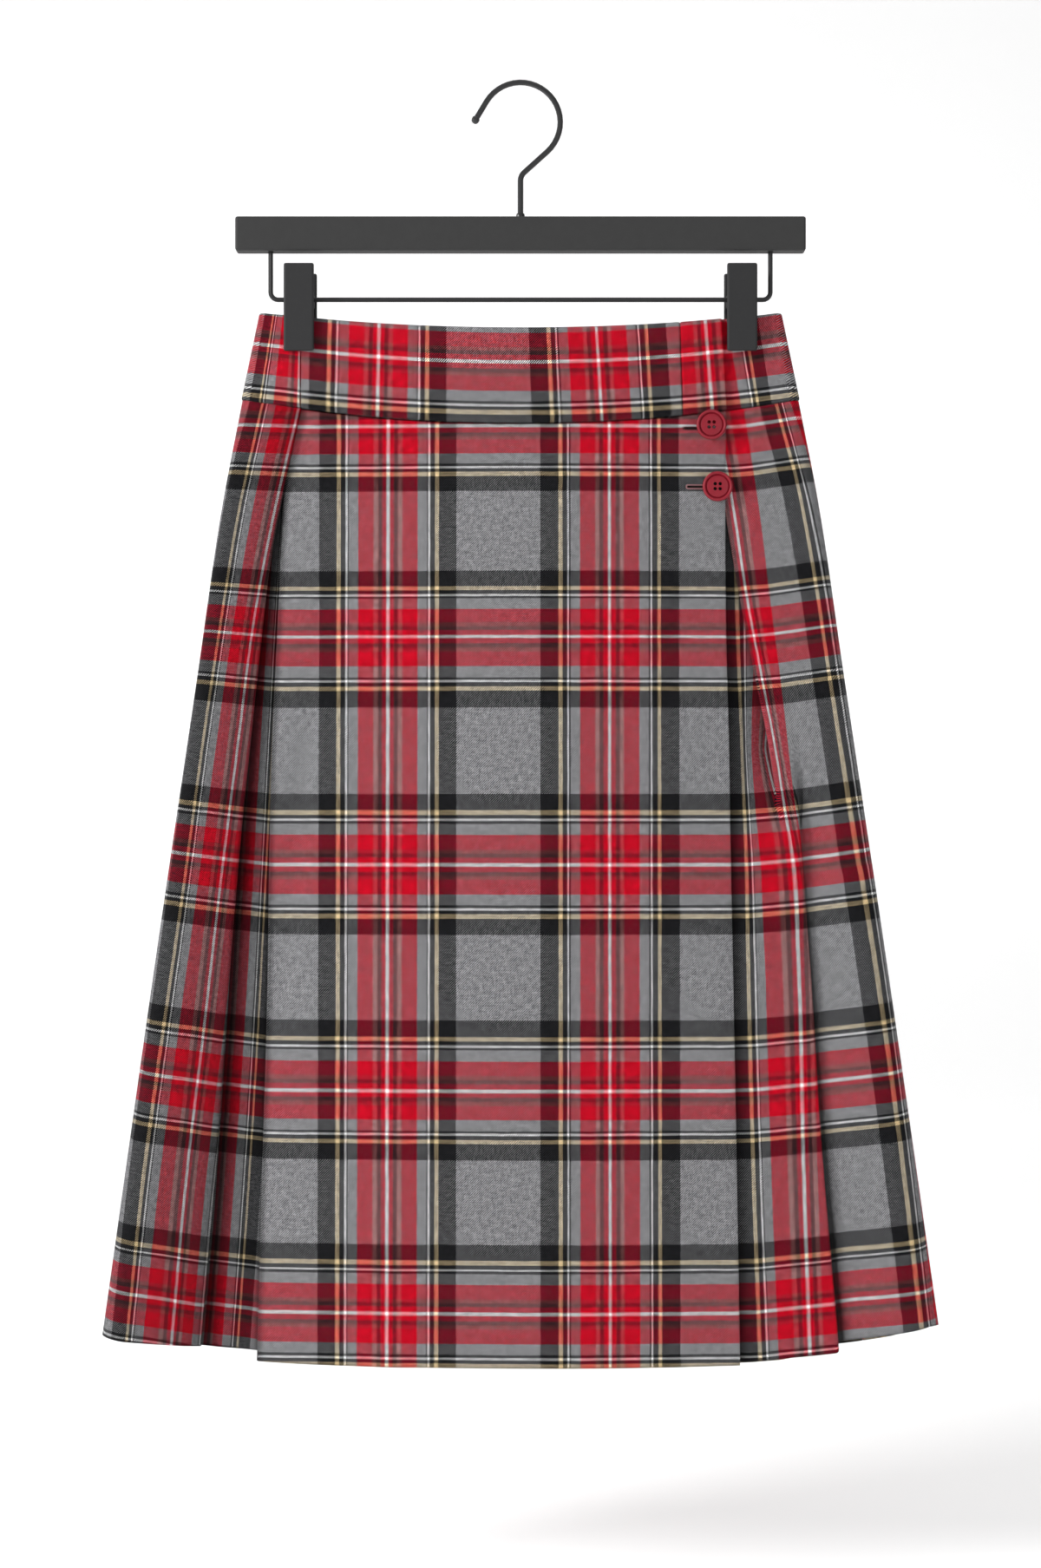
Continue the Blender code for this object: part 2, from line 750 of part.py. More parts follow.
def make_kilt(cloth, band, plastic):
    sheet("front_apron", apron_section, HEIGHTS, CLOTH, cloth("front_apron"))
    sheet("under_apron", under_apron_section, HEIGHTS, CLOTH, cloth("under_apron"))
    sheet("right_side_panel", right_side_section, TWIST_HEIGHTS, CLOTH, cloth("right_side_panel"))
    half = BACK_FOLDS // 2
    right = "back_pleats_right"
    left = "back_pleats_left"
    sheet(right, lambda ring: back_section(ring, 0, half), BACK_HEIGHTS, CLOTH, cloth(right))
    sheet(left, lambda ring: back_section(ring, half, BACK_FOLDS - 1), BACK_HEIGHTS, CLOTH, cloth(left))
    sheet("left_side_panel", left_side_section, HEIGHTS, CLOTH, cloth("left_side_panel"))
    sheet("waistband_front", band_front_section, BAND_HEIGHTS, BAND_CLOTH, band("waistband_front"))
    sheet("waistband_tab", band_tab_section, BAND_HEIGHTS, BAND_CLOTH, band("waistband_tab"))
    sheet("waistband_round", band_round_section, BAND_HEIGHTS, BAND_CLOTH, band("waistband_round"))
    for name, place in BUTTONS.items():
        make_button(name, place, plastic(name))


def make_hanger(metal, paint, plastic):
    make_hook(metal("hook"))
    make_collar(metal("collar"))
    make_bar(paint("bar"))
    make_rail(metal("rail"))
    for side_name, side in (("left", -1), ("right", 1)):
        front = f"clip_{side_name}_front_jaw"
        back = f"clip_{side_name}_back_jaw"
        make_jaw(front, side * CLIP_X, -1, CLIP_TOP, FRONT_LUGS, plastic(front))
        make_jaw(back, side * CLIP_X, 1, CLIP_TOP - BACK_JAW_DROP, BACK_LUGS, plastic(back))


def main():
    for obj in list(bpy.data.objects):
        bpy.data.objects.remove(obj, do_unlink=True)
    make_kilt(
        cloth=lambda name: material(f"tartan_{name}", (0.36, 0.06, 0.08), 0.85),
        band=lambda name: material(f"tartan_{name}", (0.30, 0.05, 0.07), 0.85),
        plastic=lambda name: material(f"red_plastic_{name}", (0.35, 0.03, 0.05), 0.4),
    )
    make_hanger(
        metal=lambda name: material(f"black_wire_{name}", (0.02, 0.02, 0.02), 0.3, 1.0),
        paint=lambda name: material(f"black_paint_{name}", (0.05, 0.05, 0.05), 0.55),
        plastic=lambda name: material(f"black_plastic_{name}", (0.04, 0.04, 0.04), 0.5),
    )


main()
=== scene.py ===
# %% [markdown]
# # A tartan wrap kilt on a clip hanger
# The real thing is a wrap skirt of worsted twill: a flat apron in front, one deep pleat at each side,
# knife pleats behind and a shaped waistband, closed with two buttons and hung from a two-clip hanger.
# Each cloth piece is walked round the body in plan, the way a cutter thinks of it, and every walk also
# carries the weave, so the checks run over folds and seams as they do on real cloth.
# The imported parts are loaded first: they fix every size and place, and nothing here moves them.

import math

import bmesh
import bpy
import numpy as np
from mathutils import Matrix, Vector


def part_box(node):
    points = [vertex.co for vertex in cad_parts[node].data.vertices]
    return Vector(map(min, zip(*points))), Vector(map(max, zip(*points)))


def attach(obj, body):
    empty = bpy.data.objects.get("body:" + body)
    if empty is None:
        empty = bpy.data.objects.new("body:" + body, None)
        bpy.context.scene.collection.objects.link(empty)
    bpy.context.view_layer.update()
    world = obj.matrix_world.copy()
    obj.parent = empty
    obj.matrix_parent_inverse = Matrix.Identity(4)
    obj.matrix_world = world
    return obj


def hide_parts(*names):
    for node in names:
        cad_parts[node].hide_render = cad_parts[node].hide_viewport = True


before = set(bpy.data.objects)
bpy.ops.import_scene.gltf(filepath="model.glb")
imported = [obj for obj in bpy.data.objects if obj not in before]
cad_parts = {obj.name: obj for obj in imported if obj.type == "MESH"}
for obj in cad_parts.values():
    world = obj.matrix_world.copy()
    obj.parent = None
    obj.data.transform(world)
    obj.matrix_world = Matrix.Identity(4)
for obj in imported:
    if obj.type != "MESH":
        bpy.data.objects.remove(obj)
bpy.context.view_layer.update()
MM = 0.001

# %% [markdown]
# ## Camera
# The kilt hangs straight in front of the eye, so the camera looks along +Y from the height of its
# middle. A normal lens at one and a half metres keeps the sides nearly parallel. Blender's sensor width
# belongs to the long side of a portrait picture, so the lens follows from the height that must fit.

# %% Camera
EYE_DISTANCE = 1.5
EYE_HEIGHT = -0.467
PICTURE_HEIGHT = 1.048

scene = bpy.context.scene
camera_data = bpy.data.cameras.new("camera")
camera_data.lens = camera_data.sensor_width * EYE_DISTANCE / PICTURE_HEIGHT
camera = bpy.data.objects.new("camera", camera_data)
camera.location = (0.0, -EYE_DISTANCE, EYE_HEIGHT)
camera.rotation_euler = (math.radians(90), 0.0, 0.0)
scene.collection.objects.link(camera)
scene.camera = camera
scene.view_settings.view_transform = "Standard"
print("lens:", round(camera_data.lens, 1), "mm")

# %% [markdown]
# ## Studio
# A plain sweep of pale paper stands behind and below the kilt: a floor that bends up into a wall, made
# by pulling one edge line sideways. A large lamp at the upper left gives the soft shadows beside the
# folds, deepened there by painted shade on the cloth, and a pale sky fills them, as a white room does.

# %% Paper sweep
SWEEP_FLOOR = -1.02
SWEEP_FRONT = -3.0
SWEEP_BACK = 2.8
SWEEP_BEND = 0.6
SWEEP_TOP = 2.2
SWEEP_HALF_WIDTH = 4.0
SWEEP_BEND_STEPS = 12
PAPER_COLOUR = (0.93, 0.93, 0.93)
PAPER_ROUGHNESS = 0.9
# The paper is lit brighter than the kilt, so that it stays clean white behind it.
PAPER_GLOW = 0.36


def new_material(name):
    """A material, its node tree and its shader."""
    made = bpy.data.materials.new(name)
    made.use_nodes = True
    return made, made.node_tree, made.node_tree.nodes["Principled BSDF"]


def paper_material(name, colour, roughness, glow):
    made, _, shader = new_material(name)
    shader.inputs["Base Color"].default_value = (*colour, 1.0)
    shader.inputs["Roughness"].default_value = roughness
    shader.inputs["Emission Color"].default_value = (*colour, 1.0)
    shader.inputs["Emission Strength"].default_value = glow
    return made


def add_object(name, mesh, finish):
    obj = bpy.data.objects.new(name, mesh)
    scene.collection.objects.link(obj)
    mesh.materials.append(finish)
    return obj


def finished_mesh(name, bm):
    mesh = bpy.data.meshes.new(name)
    bm.to_mesh(mesh)
    bm.free()
    return mesh


def make_sweep():
    bm = bmesh.new()
    line = [bm.verts.new((-SWEEP_HALF_WIDTH, SWEEP_FRONT, SWEEP_FLOOR))]
    for step in range(SWEEP_BEND_STEPS + 1):
        angle = math.radians(90 * step / SWEEP_BEND_STEPS)
        y = SWEEP_BACK - SWEEP_BEND + SWEEP_BEND * math.sin(angle)
        z = SWEEP_FLOOR + SWEEP_BEND - SWEEP_BEND * math.cos(angle)
        line.append(bm.verts.new((-SWEEP_HALF_WIDTH, y, z)))
    line.append(bm.verts.new((-SWEEP_HALF_WIDTH, SWEEP_BACK, SWEEP_TOP)))
    edges = [bm.edges.new(pair) for pair in zip(line, line[1:])]
    pulled = bmesh.ops.extrude_edge_only(bm, edges=edges)["geom"]
    verts = [item for item in pulled if isinstance(item, bmesh.types.BMVert)]
    bmesh.ops.translate(bm, vec=(2 * SWEEP_HALF_WIDTH, 0, 0), verts=verts)
    bmesh.ops.recalc_face_normals(bm, faces=bm.faces)
    for face in bm.faces:
        face.smooth = True
    paper = paper_material("paper", PAPER_COLOUR, PAPER_ROUGHNESS, PAPER_GLOW)
    sweep = add_object("paper_sweep", finished_mesh("paper_sweep", bm), paper)
    print("paper sweep:", len(sweep.data.polygons), "faces")


make_sweep()

# %% Lamps and sky
SKY_STRENGTH = 0.27
# Each lamp: its name, place, width and power.
LAMPS = (
    ("key_lamp", (-2.3, -1.35, 0.6), 0.7, 66.0),
    ("fill_lamp", (1.2, -2.2, 0.1), 1.8, 7.0),
    ("paper_lamp", (0.0, -0.2, 1.6), 2.4, 14.0),
)
LAMP_AIM = Vector((0.0, 0.0, -0.45))

world = bpy.data.worlds.new("pale_room")
world.use_nodes = True
world.node_tree.nodes["Background"].inputs["Color"].default_value = (1.0, 1.0, 1.0, 1.0)
world.node_tree.nodes["Background"].inputs["Strength"].default_value = SKY_STRENGTH
scene.world = world


def add_lamp(name, place, size, power):
    data = bpy.data.lights.new(name, "AREA")
    data.shape = "DISK"
    data.size = size
    data.energy = power
    lamp = bpy.data.objects.new(name, data)
    lamp.location = place
    lamp.rotation_euler = (LAMP_AIM - Vector(place)).to_track_quat("-Z", "Y").to_euler()
    scene.collection.objects.link(lamp)


for lamp in LAMPS:
    add_lamp(*lamp)
print("lamps:", len(LAMPS))

# %% [markdown]
# ## The body under the cloth
# All the cloth wraps one flat lens, wider at the hem than at the waist. A piece is a walk round that
# lens: its distance round, its level outside it, and how far its hem is lifted. Height runs from -1 at
# the top of the waistband through 0 at the waist seam to 1 at the hem. The numbers are in millimetres.
# They are those of the solid parts, except low down at the left: there the fold lies up to 1.8 mm and
# the apron's edge 0.2 mm nearer the middle.

# %% Table helper
class Table:
    """Rows by height, with a smooth curve through each named column."""

    def __init__(self, columns, rows):
        heights, *rest = np.array(rows).T
        self.heights = heights
        self.values = dict(zip(columns, rest, strict=True))

    def at(self, name, height):
        """One column's value at a height. It is straight in the waistband, above the seam."""
        heights, values = self.heights, self.values[name]
        if height < 0:
            return float(np.interp(height, heights, values))
        heights, values = heights[heights >= 0], values[heights >= 0]
        slopes = np.gradient(values, heights)
        row = int(np.clip(np.searchsorted(heights, height) - 1, 0, len(heights) - 2))
        span = heights[row + 1] - heights[row]
        t = (height - heights[row]) / span
        start = (2 * t**3 - 3 * t**2 + 1) * values[row] + (t**3 - 2 * t**2 + t) * span * slopes[row]
        end = (3 * t**2 - 2 * t**3) * values[row + 1] + (t**3 - t**2) * span * slopes[row + 1]
        return float(start + end)


# %% Tables of the body
# Each row of a table starts with its height, and its other columns have names.
RING_COLUMNS = ("half_width", "depth", "side_radius", "pitch")
RING_ROWS = (
    (-1.0, 171.4, 6.0, 2.2, 1.60),
    (0.0, 182.2, 9.0, 3.0, 1.60),
    (0.1, 194.0, 10.5, 4.0, 1.70),
    (0.3, 212.2, 13.0, 5.8, 1.85),
    (0.6, 239.2, 17.0, 8.5, 2.10),
    (1.0, 273.9, 22.0, 12.0, 2.40),
)
RING = Table(RING_COLUMNS, RING_ROWS)
# Edges that curve upwards from the centre to the sides: z at the centre, rise at the sides, power.
BAND_TOP = (-163.9, 11.3, 2.0)
WAIST_SEAM = (-228.1, 17.3, 2.0)
HEM = (-850.5, 18.0, 4.0)
SIDE_STACK = 4.0
SEAM_GAP = 0.3
RING_SAMPLES = 200
CORNER_SAMPLES = 50
TANGENT_STEP = 0.05


def ease(t):
    t = np.clip(t, 0.0, 1.0)
    return t * t * (3 - 2 * t)


def edge_z(edge, share):
    centre, rise, power = edge
    return centre + rise * np.abs(share) ** power


# %% The ring at one height
class Ring:
    """A flat lens with round ends, measured from the front's centre towards +X."""

    def __init__(self, height):
        self.height = height
        self.pitch = RING.at("pitch", height)
        self.half_width = RING.at("half_width", height)
        self.radius = RING.at("side_radius", height)
        self.flat = self.half_width - self.radius
        depth = RING.at("depth", height)
        x = np.linspace(0, self.flat, RING_SAMPLES)
        y = -self.radius - (depth - self.radius) * np.cos(math.pi * x / (2 * self.flat)) ** 2
        angle = np.linspace(-math.pi / 2, 0, CORNER_SAMPLES)[1:]
        x = np.concatenate([x, self.flat + self.radius * np.cos(angle)])
        y = np.concatenate([y, self.radius * np.sin(angle)])
        self.x = np.concatenate([x, x[-2::-1], -x[1:], -x[-2::-1]])
        self.y = np.concatenate([y, -y[-2::-1], -y[1:], y[-2::-1]])
        steps = np.hypot(np.diff(self.x), np.diff(self.y))
        self.along = np.concatenate([[0], np.cumsum(steps)])
        self.length = float(self.along[-1])
        self.side_start = float(self.along[RING_SAMPLES - 1])
        self.side_middle = self.length / 4
        self.side_end = self.length / 2 - self.side_start
        self.back_width = 2 * self.side_start

    def front(self, x, level=0.0):
        """Distance round the ring of a point of the front that is seen at x."""
        size = abs(x)
        if size <= self.flat:
            reach = np.interp(size, self.x[:RING_SAMPLES], self.along[:RING_SAMPLES])
        else:
            share = min((size - self.flat) / (self.radius + level), 1.0)
            reach = self.side_start + self.radius * math.asin(share)
        return math.copysign(float(reach), x)

    def left(self, x, level=0.0):
        """The same for a point at the left, reached the long way round the back."""
        return self.length + self.front(x, level)

    def place(self, along, level):
        """World x and y of points at these distances and levels."""
        wrapped = np.mod(along, self.length)
        before = np.mod(along - TANGENT_STEP, self.length)
        after = np.mod(along + TANGENT_STEP, self.length)
        tangent_x = np.interp(after, self.along, self.x) - np.interp(before, self.along, self.x)
        tangent_y = np.interp(after, self.along, self.y) - np.interp(before, self.along, self.y)
        size = np.hypot(tangent_x, tangent_y)
        level = level + sway(wrapped / self.length, self.height)
        x = np.interp(wrapped, self.along, self.x) + level * tangent_y / size
        y = np.interp(wrapped, self.along, self.y) - level * tangent_x / size
        return x, y


# %% [markdown]
# ## Soft creases
# Cloth that hangs from two clips is never quite flat. Each row below is one shallow trough or ridge
# that runs down the skirt: where it starts and ends round the body, over which heights, how wide and
# how deep. Every layer takes the same push, so layers that lie on each other stay apart.

# %% Creases of the skirt
# Shares of the way round at the waist and at the hem, heights from and to, width as a share, depth.
CREASES = (
    (0.075, 0.070, 0.20, 1.20, 0.016, -0.5),
    (0.140, 0.128, 0.45, 1.25, 0.012, 1.3),
    (0.205, 0.198, 0.25, 1.20, 0.010, -1.0),
    (0.945, 0.950, 0.15, 0.85, 0.016, -0.4),
    (0.915, 0.925, 0.35, 1.20, 0.014, 1.0),
    (0.842, 0.835, 0.10, 1.20, 0.009, -1.2),
    (0.806, 0.800, 0.30, 1.20, 0.010, 1.1),
    (0.330, 0.335, 0.20, 1.20, 0.014, 1.2),
    (0.415, 0.410, 0.05, 1.10, 0.018, -1.3),
    (0.470, 0.480, 0.35, 1.25, 0.013, 1.4),
    (0.560, 0.550, 0.15, 1.05, 0.017, -1.2),
    (0.640, 0.650, 0.30, 1.20, 0.012, 1.3),
    (0.700, 0.690, 0.10, 1.20, 0.015, -1.0),
)
CREASE_FADE = 0.14


def sway(share, height):
    """How far the creases push the cloth out at these shares round the ring."""
    push = np.zeros_like(share)
    if height < 0:
        return push
    for top, hem, start, end, width, depth in CREASES:
        middle = top + (hem - top) * height
        away = np.mod(share - middle + 0.5, 1.0) - 0.5
        fade = ease((height - start) / CREASE_FADE) * ease((end - height) / CREASE_FADE)
        push = push + depth * fade * np.exp(-((away / width) ** 2))
    return push


print("creases:", len(CREASES))

# %% [markdown]
# ## Walks round the body
# A walk is a list of points in plan. It can run on, fold back on itself from one level to another, or
# bend by any angle, which is how the side pleat opens. A pin says which thread of the cloth lies at
# that point. Between pins the weave is spread along the cloth, and past the ends it runs on unstretched.

# %% Walk helper
FOLD_STEPS = 6


class Walk:
    def __init__(self, distance, level, rise=0.0):
        self.points = [(distance, level, rise)]
        self.pins = {}
        self.shade_marks = {}

    def here(self):
        """Distance of the last point."""
        return self.points[-1][0]

    def run(self, distance, level, steps, rise=None, eased=False):
        """Goes straight to a new distance. The level is a number, or a function of the distance."""
        start = self.points[-1]
        rise = start[2] if rise is None else rise
        for step in range(1, steps + 1):
            t = step / steps
            place = start[0] + (distance - start[0]) * t
            if callable(level):
                height = level(place)
            else:
                height = start[1] + (level - start[1]) * (float(ease(t)) if eased else t)
            self.points.append((place, height, start[2] + (rise - start[2]) * t))

    def fold(self, level):
        """Turns back, from this level to another."""
        distance, start, rise = self.points[-1]
        direction = math.copysign(1, distance - self.points[-2][0])
        middle = (start + level) / 2
        radius = abs(start - level) / 2
        for step in range(1, FOLD_STEPS + 1):
            angle = math.pi * step / FOLD_STEPS
            bulge = direction * radius * math.sin(angle)
            self.points.append((distance + bulge, middle + (start - middle) * math.cos(angle), rise))

    def shift(self, steps, rise):
        """Goes on by small steps of (distance, level), while the hem changes evenly to a new rise."""
        lift = (rise - self.points[-1][2]) / len(steps)
        for along, level in steps:
            last = self.points[-1]
            self.points.append((last[0] + along, last[1] + level, last[2] + lift))

    def pin(self, thread):
        self.pins[len(self.points) - 1] = thread

    def paint_shade(self, depth):
        """Sets the painted shade at this point, from 0 in the open to 1 deep in a fold."""
        self.shade_marks[len(self.points) - 1] = depth

    def along(self):
        place = np.array(self.points)[:, :2]
        return np.concatenate([[0], np.cumsum(np.hypot(*np.diff(place, axis=0).T))])

    def painted_shade(self):
        """The painted shade at each point."""
        gone = self.along()
        marks = sorted(self.shade_marks)
        if not marks:
            return np.zeros(len(gone))
        return np.interp(gone, gone[marks], [self.shade_marks[mark] for mark in marks], left=0.0, right=0.0)

    def threads(self):
        """The warp thread at each point, in millimetres across the cloth."""
        gone = self.along()
        marks = sorted(self.pins)
        found = np.interp(gone, gone[marks], [self.pins[mark] for mark in marks])
        found[: marks[0]] -= gone[marks[0]] - gone[: marks[0]]
        found[marks[-1] :] += gone[marks[-1] :] - gone[marks[-1]]
        return found


# %% [markdown]
# ## Where the checks lie
# The cloth repeats every 148 mm both ways. Thread 0 is the white line in the middle of a red stripe.
# These tables say where chosen lines of the check cross each face, as a dressmaker matches a check:
# the apron hangs plumb, and the side panels lean out with the flare.

# %% Tables of the check
REPEAT = 148.4
WHITE_LINE = 27.4
TAN_LINE = 33.0
RED_EDGE = 19.4
BLACK_END = 45.8
APRON_LINES = (-87.6, 58.6)

# Heights of the white weft lines at the apron, from the waist down, and the repeats they count.
WEFT_LINES = (
    (-229.6, 0),
    (-369.4, 1),
    (-520.4, 2),
    (-669.1, 3),
    (-815.1, 4),
)

FRONT_COLUMNS = ("left_fold", "apron_left", "apron_right")
FRONT_ROWS = (
    (0.00, -145.8, -153.5, 136.4),
    (0.07, -155.0, -156.0, 135.9),
    (0.15, -164.8, -158.8, 135.7),
    (0.25, -172.2, -161.5, 136.3),
    (0.35, -178.6, -164.3, 137.9),
    (0.45, -184.8, -165.8, 138.6),
    (0.62, -193.2, -167.3, 140.4),
    (0.80, -200.8, -170.4, 142.1),
    (1.00, -211.0, -173.5, 143.9),
)
FRONT = Table(FRONT_COLUMNS, FRONT_ROWS)
# The left side: its red stripe's white middle, its second white line, the underlay's, and the lean.
LEFT_COLUMNS = ("middle", "white", "under_white", "lean")
LEFT_ROWS = (
    (0.00, -147.0, -168.0, -153.6, 0.050),
    (0.12, -164.0, -184.2, -159.0, 0.065),
    (0.22, -175.6, -194.2, -163.0, 0.085),
    (0.37, -187.6, -207.8, -168.0, 0.110),
    (0.52, -199.0, -220.0, -172.7, 0.128),
    (0.67, -209.4, -232.9, -177.6, 0.132),
    (0.82, -220.2, -245.2, -183.4, 0.130),
    (1.00, -230.0, -257.0, -191.2, 0.125),
)
LEFT = Table(LEFT_COLUMNS, LEFT_ROWS)
# The right side: tan line under the pleat, middle of the red stripe, the thread at the seam, white line.
RIGHT_COLUMNS = ("tan", "middle", "seam_thread", "white", "lean")
RIGHT_ROWS = (
    (0.00, 141.5, 129.5, 19.4, 174.4, 0.160),
    (0.10, 142.6, 140.9, 19.4, 190.4, 0.150),
    (0.20, 144.0, 150.3, 19.4, 202.6, 0.150),
    (0.28, 145.6, 159.6, 19.4, 210.0, 0.147),
    (0.36, 147.6, 168.9, 18.6, 217.4, 0.145),
    (0.42, 148.7, 174.4, 12.0, 223.0, 0.145),
    (0.48, 149.6, 180.3, 4.8, 228.6, 0.145),
    (0.60, 150.7, 184.4, 6.6, 239.8, 0.140),
    (0.80, 153.5, 187.0, 12.0, 256.4, 0.130),
    (1.00, 157.6, 190.9, 18.4, 270.8, 0.125),
)
RIGHT = Table(RIGHT_COLUMNS, RIGHT_ROWS)
RIGHT_INNER_LEAN = 0.09


# %% Lines of the check across the body
def weft_lift(x, ring):
    """How much higher than at the apron a weft thread lies on the leaning sides."""
    left = FRONT.at("apron_left", ring.height)
    tan = RIGHT.at("tan", ring.height)
    seam = PLEAT.at("seam", ring.height)
    lift = LEFT.at("lean", ring.height) * np.maximum(left - x, 0)
    lift = lift + RIGHT_INNER_LEAN * (np.clip(x, tan, seam) - tan)
    return lift + RIGHT.at("lean", ring.height) * np.maximum(x - seam, 0)


def weft_threads(x, y, z, ring):
    """The weft thread at each point, in millimetres down the cloth."""
    edge = np.sign(x) * ring.half_width
    behind = weft_lift(edge, ring) * (x / ring.half_width) ** 2
    level = z - np.where(y > 0, behind, weft_lift(x, ring))
    heights, repeats = np.array(WEFT_LINES)[::-1].T
    found = np.interp(level, heights, repeats)
    found = np.where(level > heights[-1], repeats[-1] + (heights[-1] - level) / REPEAT, found)
    found = np.where(level < heights[0], repeats[0] + (heights[0] - level) / REPEAT, found)
    return found * REPEAT


# %% [markdown]
# ## The pieces of the skirt
# The apron, the panel under it, the two side panels and the pleated back are walked one by one. The
# right side panel holds the odd pleat: at the waist its edge stands over the panel beside the apron,
# and lower down it opens the other way, from a fold that starts at the side seam.

# %% Tables of the folds
PLEAT_COLUMNS = ("edge", "edge_depth", "edge_turn", "seam", "seam_depth", "seam_turn")
PLEAT_ROWS = (
    (0.00, 126.0, 22.0, 180.0, 148.4, 0.8, 0.0),
    (0.12, 138.6, 18.0, 180.0, 159.5, 0.8, 0.0),
    (0.20, 147.3, 13.0, 180.0, 165.4, 0.8, 0.0),
    (0.28, 156.8, 8.0, 180.0, 171.8, 0.8, 0.0),
    (0.34, 164.2, 4.5, 178.0, 176.2, 0.8, 0.0),
    (0.39, 169.4, 2.0, 140.0, 179.3, 0.8, -20.0),
    (0.43, 173.4, 1.0, 80.0, 182.0, 1.2, -80.0),
    (0.47, 176.8, 0.8, 30.0, 184.3, 2.4, -140.0),
    (0.52, 179.2, 0.6, 0.0, 186.9, 5.5, -178.0),
    (0.60, 180.2, 0.6, 0.0, 190.5, 12.5, -180.0),
    (0.75, 181.8, 0.6, 0.0, 196.0, 19.0, -180.0),
    (1.00, 187.2, 0.6, 0.0, 208.5, 25.0, -180.0),
)
PLEAT = Table(PLEAT_COLUMNS, PLEAT_ROWS)
# The height where the pleat begins to open the other way, and over how much height it does.
OPENING = (0.34, 0.12)
# Painted shade in folds, from 0 to 1: just beside the apron's free edge, on the apron's
# turned left edge, at the tan line under the pleat, beside the seam's fold and a little way past it.
BESIDE_APRON_SHADE = 0.6
APRON_TURN_SHADE = 0.6
TAN_LINE_SHADE = 0.2
SEAM_FOLD_SHADE = 0.85
PAST_SEAM_SHADE = 0.25
# From the first height down, the painted shade beside the seam's fold grows, by the second for each 1.
SEAM_SHADE_GROWTH = (0.6, 0.4)
# By height: how far the dark of the painted shade beside the seam's fold reaches.
SEAM_DARK = ((0.45, 0.6, 0.9), (1.2, 3.0, 5.2))
# Past that reach the painted shade fades out over this length.
SEAM_SHADE_FADE = 4.5
UNDER_EDGE_SQUEEZE = ((0.20, 0.28, 0.36, 0.42, 0.48, 0.60, 1.00), (1.0, 1.4, 2.2, 1.8, 1.4, 1.15, 1.05))
EDGE_SQUEEZE = 1.5
SILHOUETTE_SQUEEZE = 1.6
# How wide the check looks on the right side, from the black stripe's end to the white line.
SIDE_BLACK_SPAN = 14.8
# The apron rises by one layer between this far left and this far right of the middle.
APRON_RAMP = 100.0
# Hidden returns of the apron's left edge and, at the waist and at the hem, of the left fold.
APRON_RETURN = 28.0
LEFT_RETURN = (24.0, 36.0)
# Over this share of its way to the pleat's edge, the cloth under it comes up from the body.
UNDER_PLEAT_RAMP = 0.6
# The under apron's free end, and its seam with the right side panel.
UNDER_END = -110.0
UNDER_SEAM = 118.0
# The back: its folds, how many faces fit across it, where the first fold lies and the hidden returns.
# A next face starts to rise a little clear of the fold, and is up after RISE_LENGTH.
BACK_FOLDS = 8
BACK_PITCHES = 8.2
FIRST_FOLD = 0.8
BACK_RETURN = (28.0, 40.0)
CLEAR_OF_FOLD = 3.0
RISE_LENGTH = 10.0
# The cloth beside the seam's fold starts to rise later by this share of the fold's depth.
SEAM_DEPTH_SHARE = 0.2
# Steps of a walk along the hidden stretch of a pleat.
HIDDEN_STEPS = 5
# Least distances between two points of a walk: in the open, in the dark beside a fold, and at stops.
OPEN_STEP = 1.0
DARK_STEP = 0.4
STOP_STEP = 0.05
# How far the hem is lifted at each part of a side.
RIGHT_RISE = {"centre": 1.0, "fold": 1.8, "inner": 8.0, "side": 4.0}
# From this height down, the cloth beside the seam's fold is lifted as the inner part is.
INNER_FROM = 0.5
LEFT_RISE = {"side": -2.0, "fold": 7.0, "inner": 6.0, "centre": 3.5}


def between(pair, height):
    """Goes from the pair's first value at the waist seam to its second at the hem."""
    return pair[0] + (pair[1] - pair[0]) * height


# %% Front apron and the panel under it
def apron_walk(ring):
    left = FRONT.at("apron_left", ring.height)
    right = FRONT.at("apron_right", ring.height)
    edge = ring.front(left) + ring.pitch / 2
    ramp_start = ring.front(-APRON_RAMP)
    ramp_end = ring.front(APRON_RAMP)

    def level(distance):
        return ring.pitch * (2 + float(ease((distance - ramp_start) / (ramp_end - ramp_start))))

    walk = Walk(edge + APRON_RETURN, ring.pitch)
    walk.paint_shade(1.0)
    walk.run(edge, ring.pitch, 8)
    walk.fold(2 * ring.pitch)
    walk.paint_shade(APRON_TURN_SHADE)
    walk.run(edge + 3.0, level, 3)
    walk.paint_shade(0.0)
    walk.run(ring.front(APRON_LINES[0]), level, 29)
    walk.pin(0.0)
    walk.run(ring.front(APRON_LINES[1]), level, 60)
    walk.pin(REPEAT)
    walk.run(ring.front(right), level, 34)
    return walk


def under_apron_walk(ring):
    walk = Walk(ring.front(UNDER_END), 0.0)
    walk.run(ring.front(APRON_LINES[0]), 0.0, 6)
    walk.pin(0.0)
    walk.run(ring.front(UNDER_SEAM) - SEAM_GAP, 0.0, 50, rise=RIGHT_RISE["centre"])
    return walk


# %% Knife pleats of the back
def back_fold(ring, number):
    """Distance round the ring of one fold edge of the back."""
    return ring.side_end + (FIRST_FOLD + number) * ring.back_width / BACK_PITCHES


def seam_behind(ring, number):
    """Distance of the hidden seam behind a fold edge."""
    return back_fold(ring, number) - between(BACK_RETURN, ring.height) / 2


def pleat_turn(walk, ring, number):
    """From a pleat's face round its fold edge and its inner fold."""
    walk.fold(ring.pitch)
    walk.paint_shade(0.0)
    walk.run(back_fold(ring, number) - between(BACK_RETURN, ring.height), ring.pitch, 5)
    walk.paint_shade(1.0)
    walk.fold(0.0)


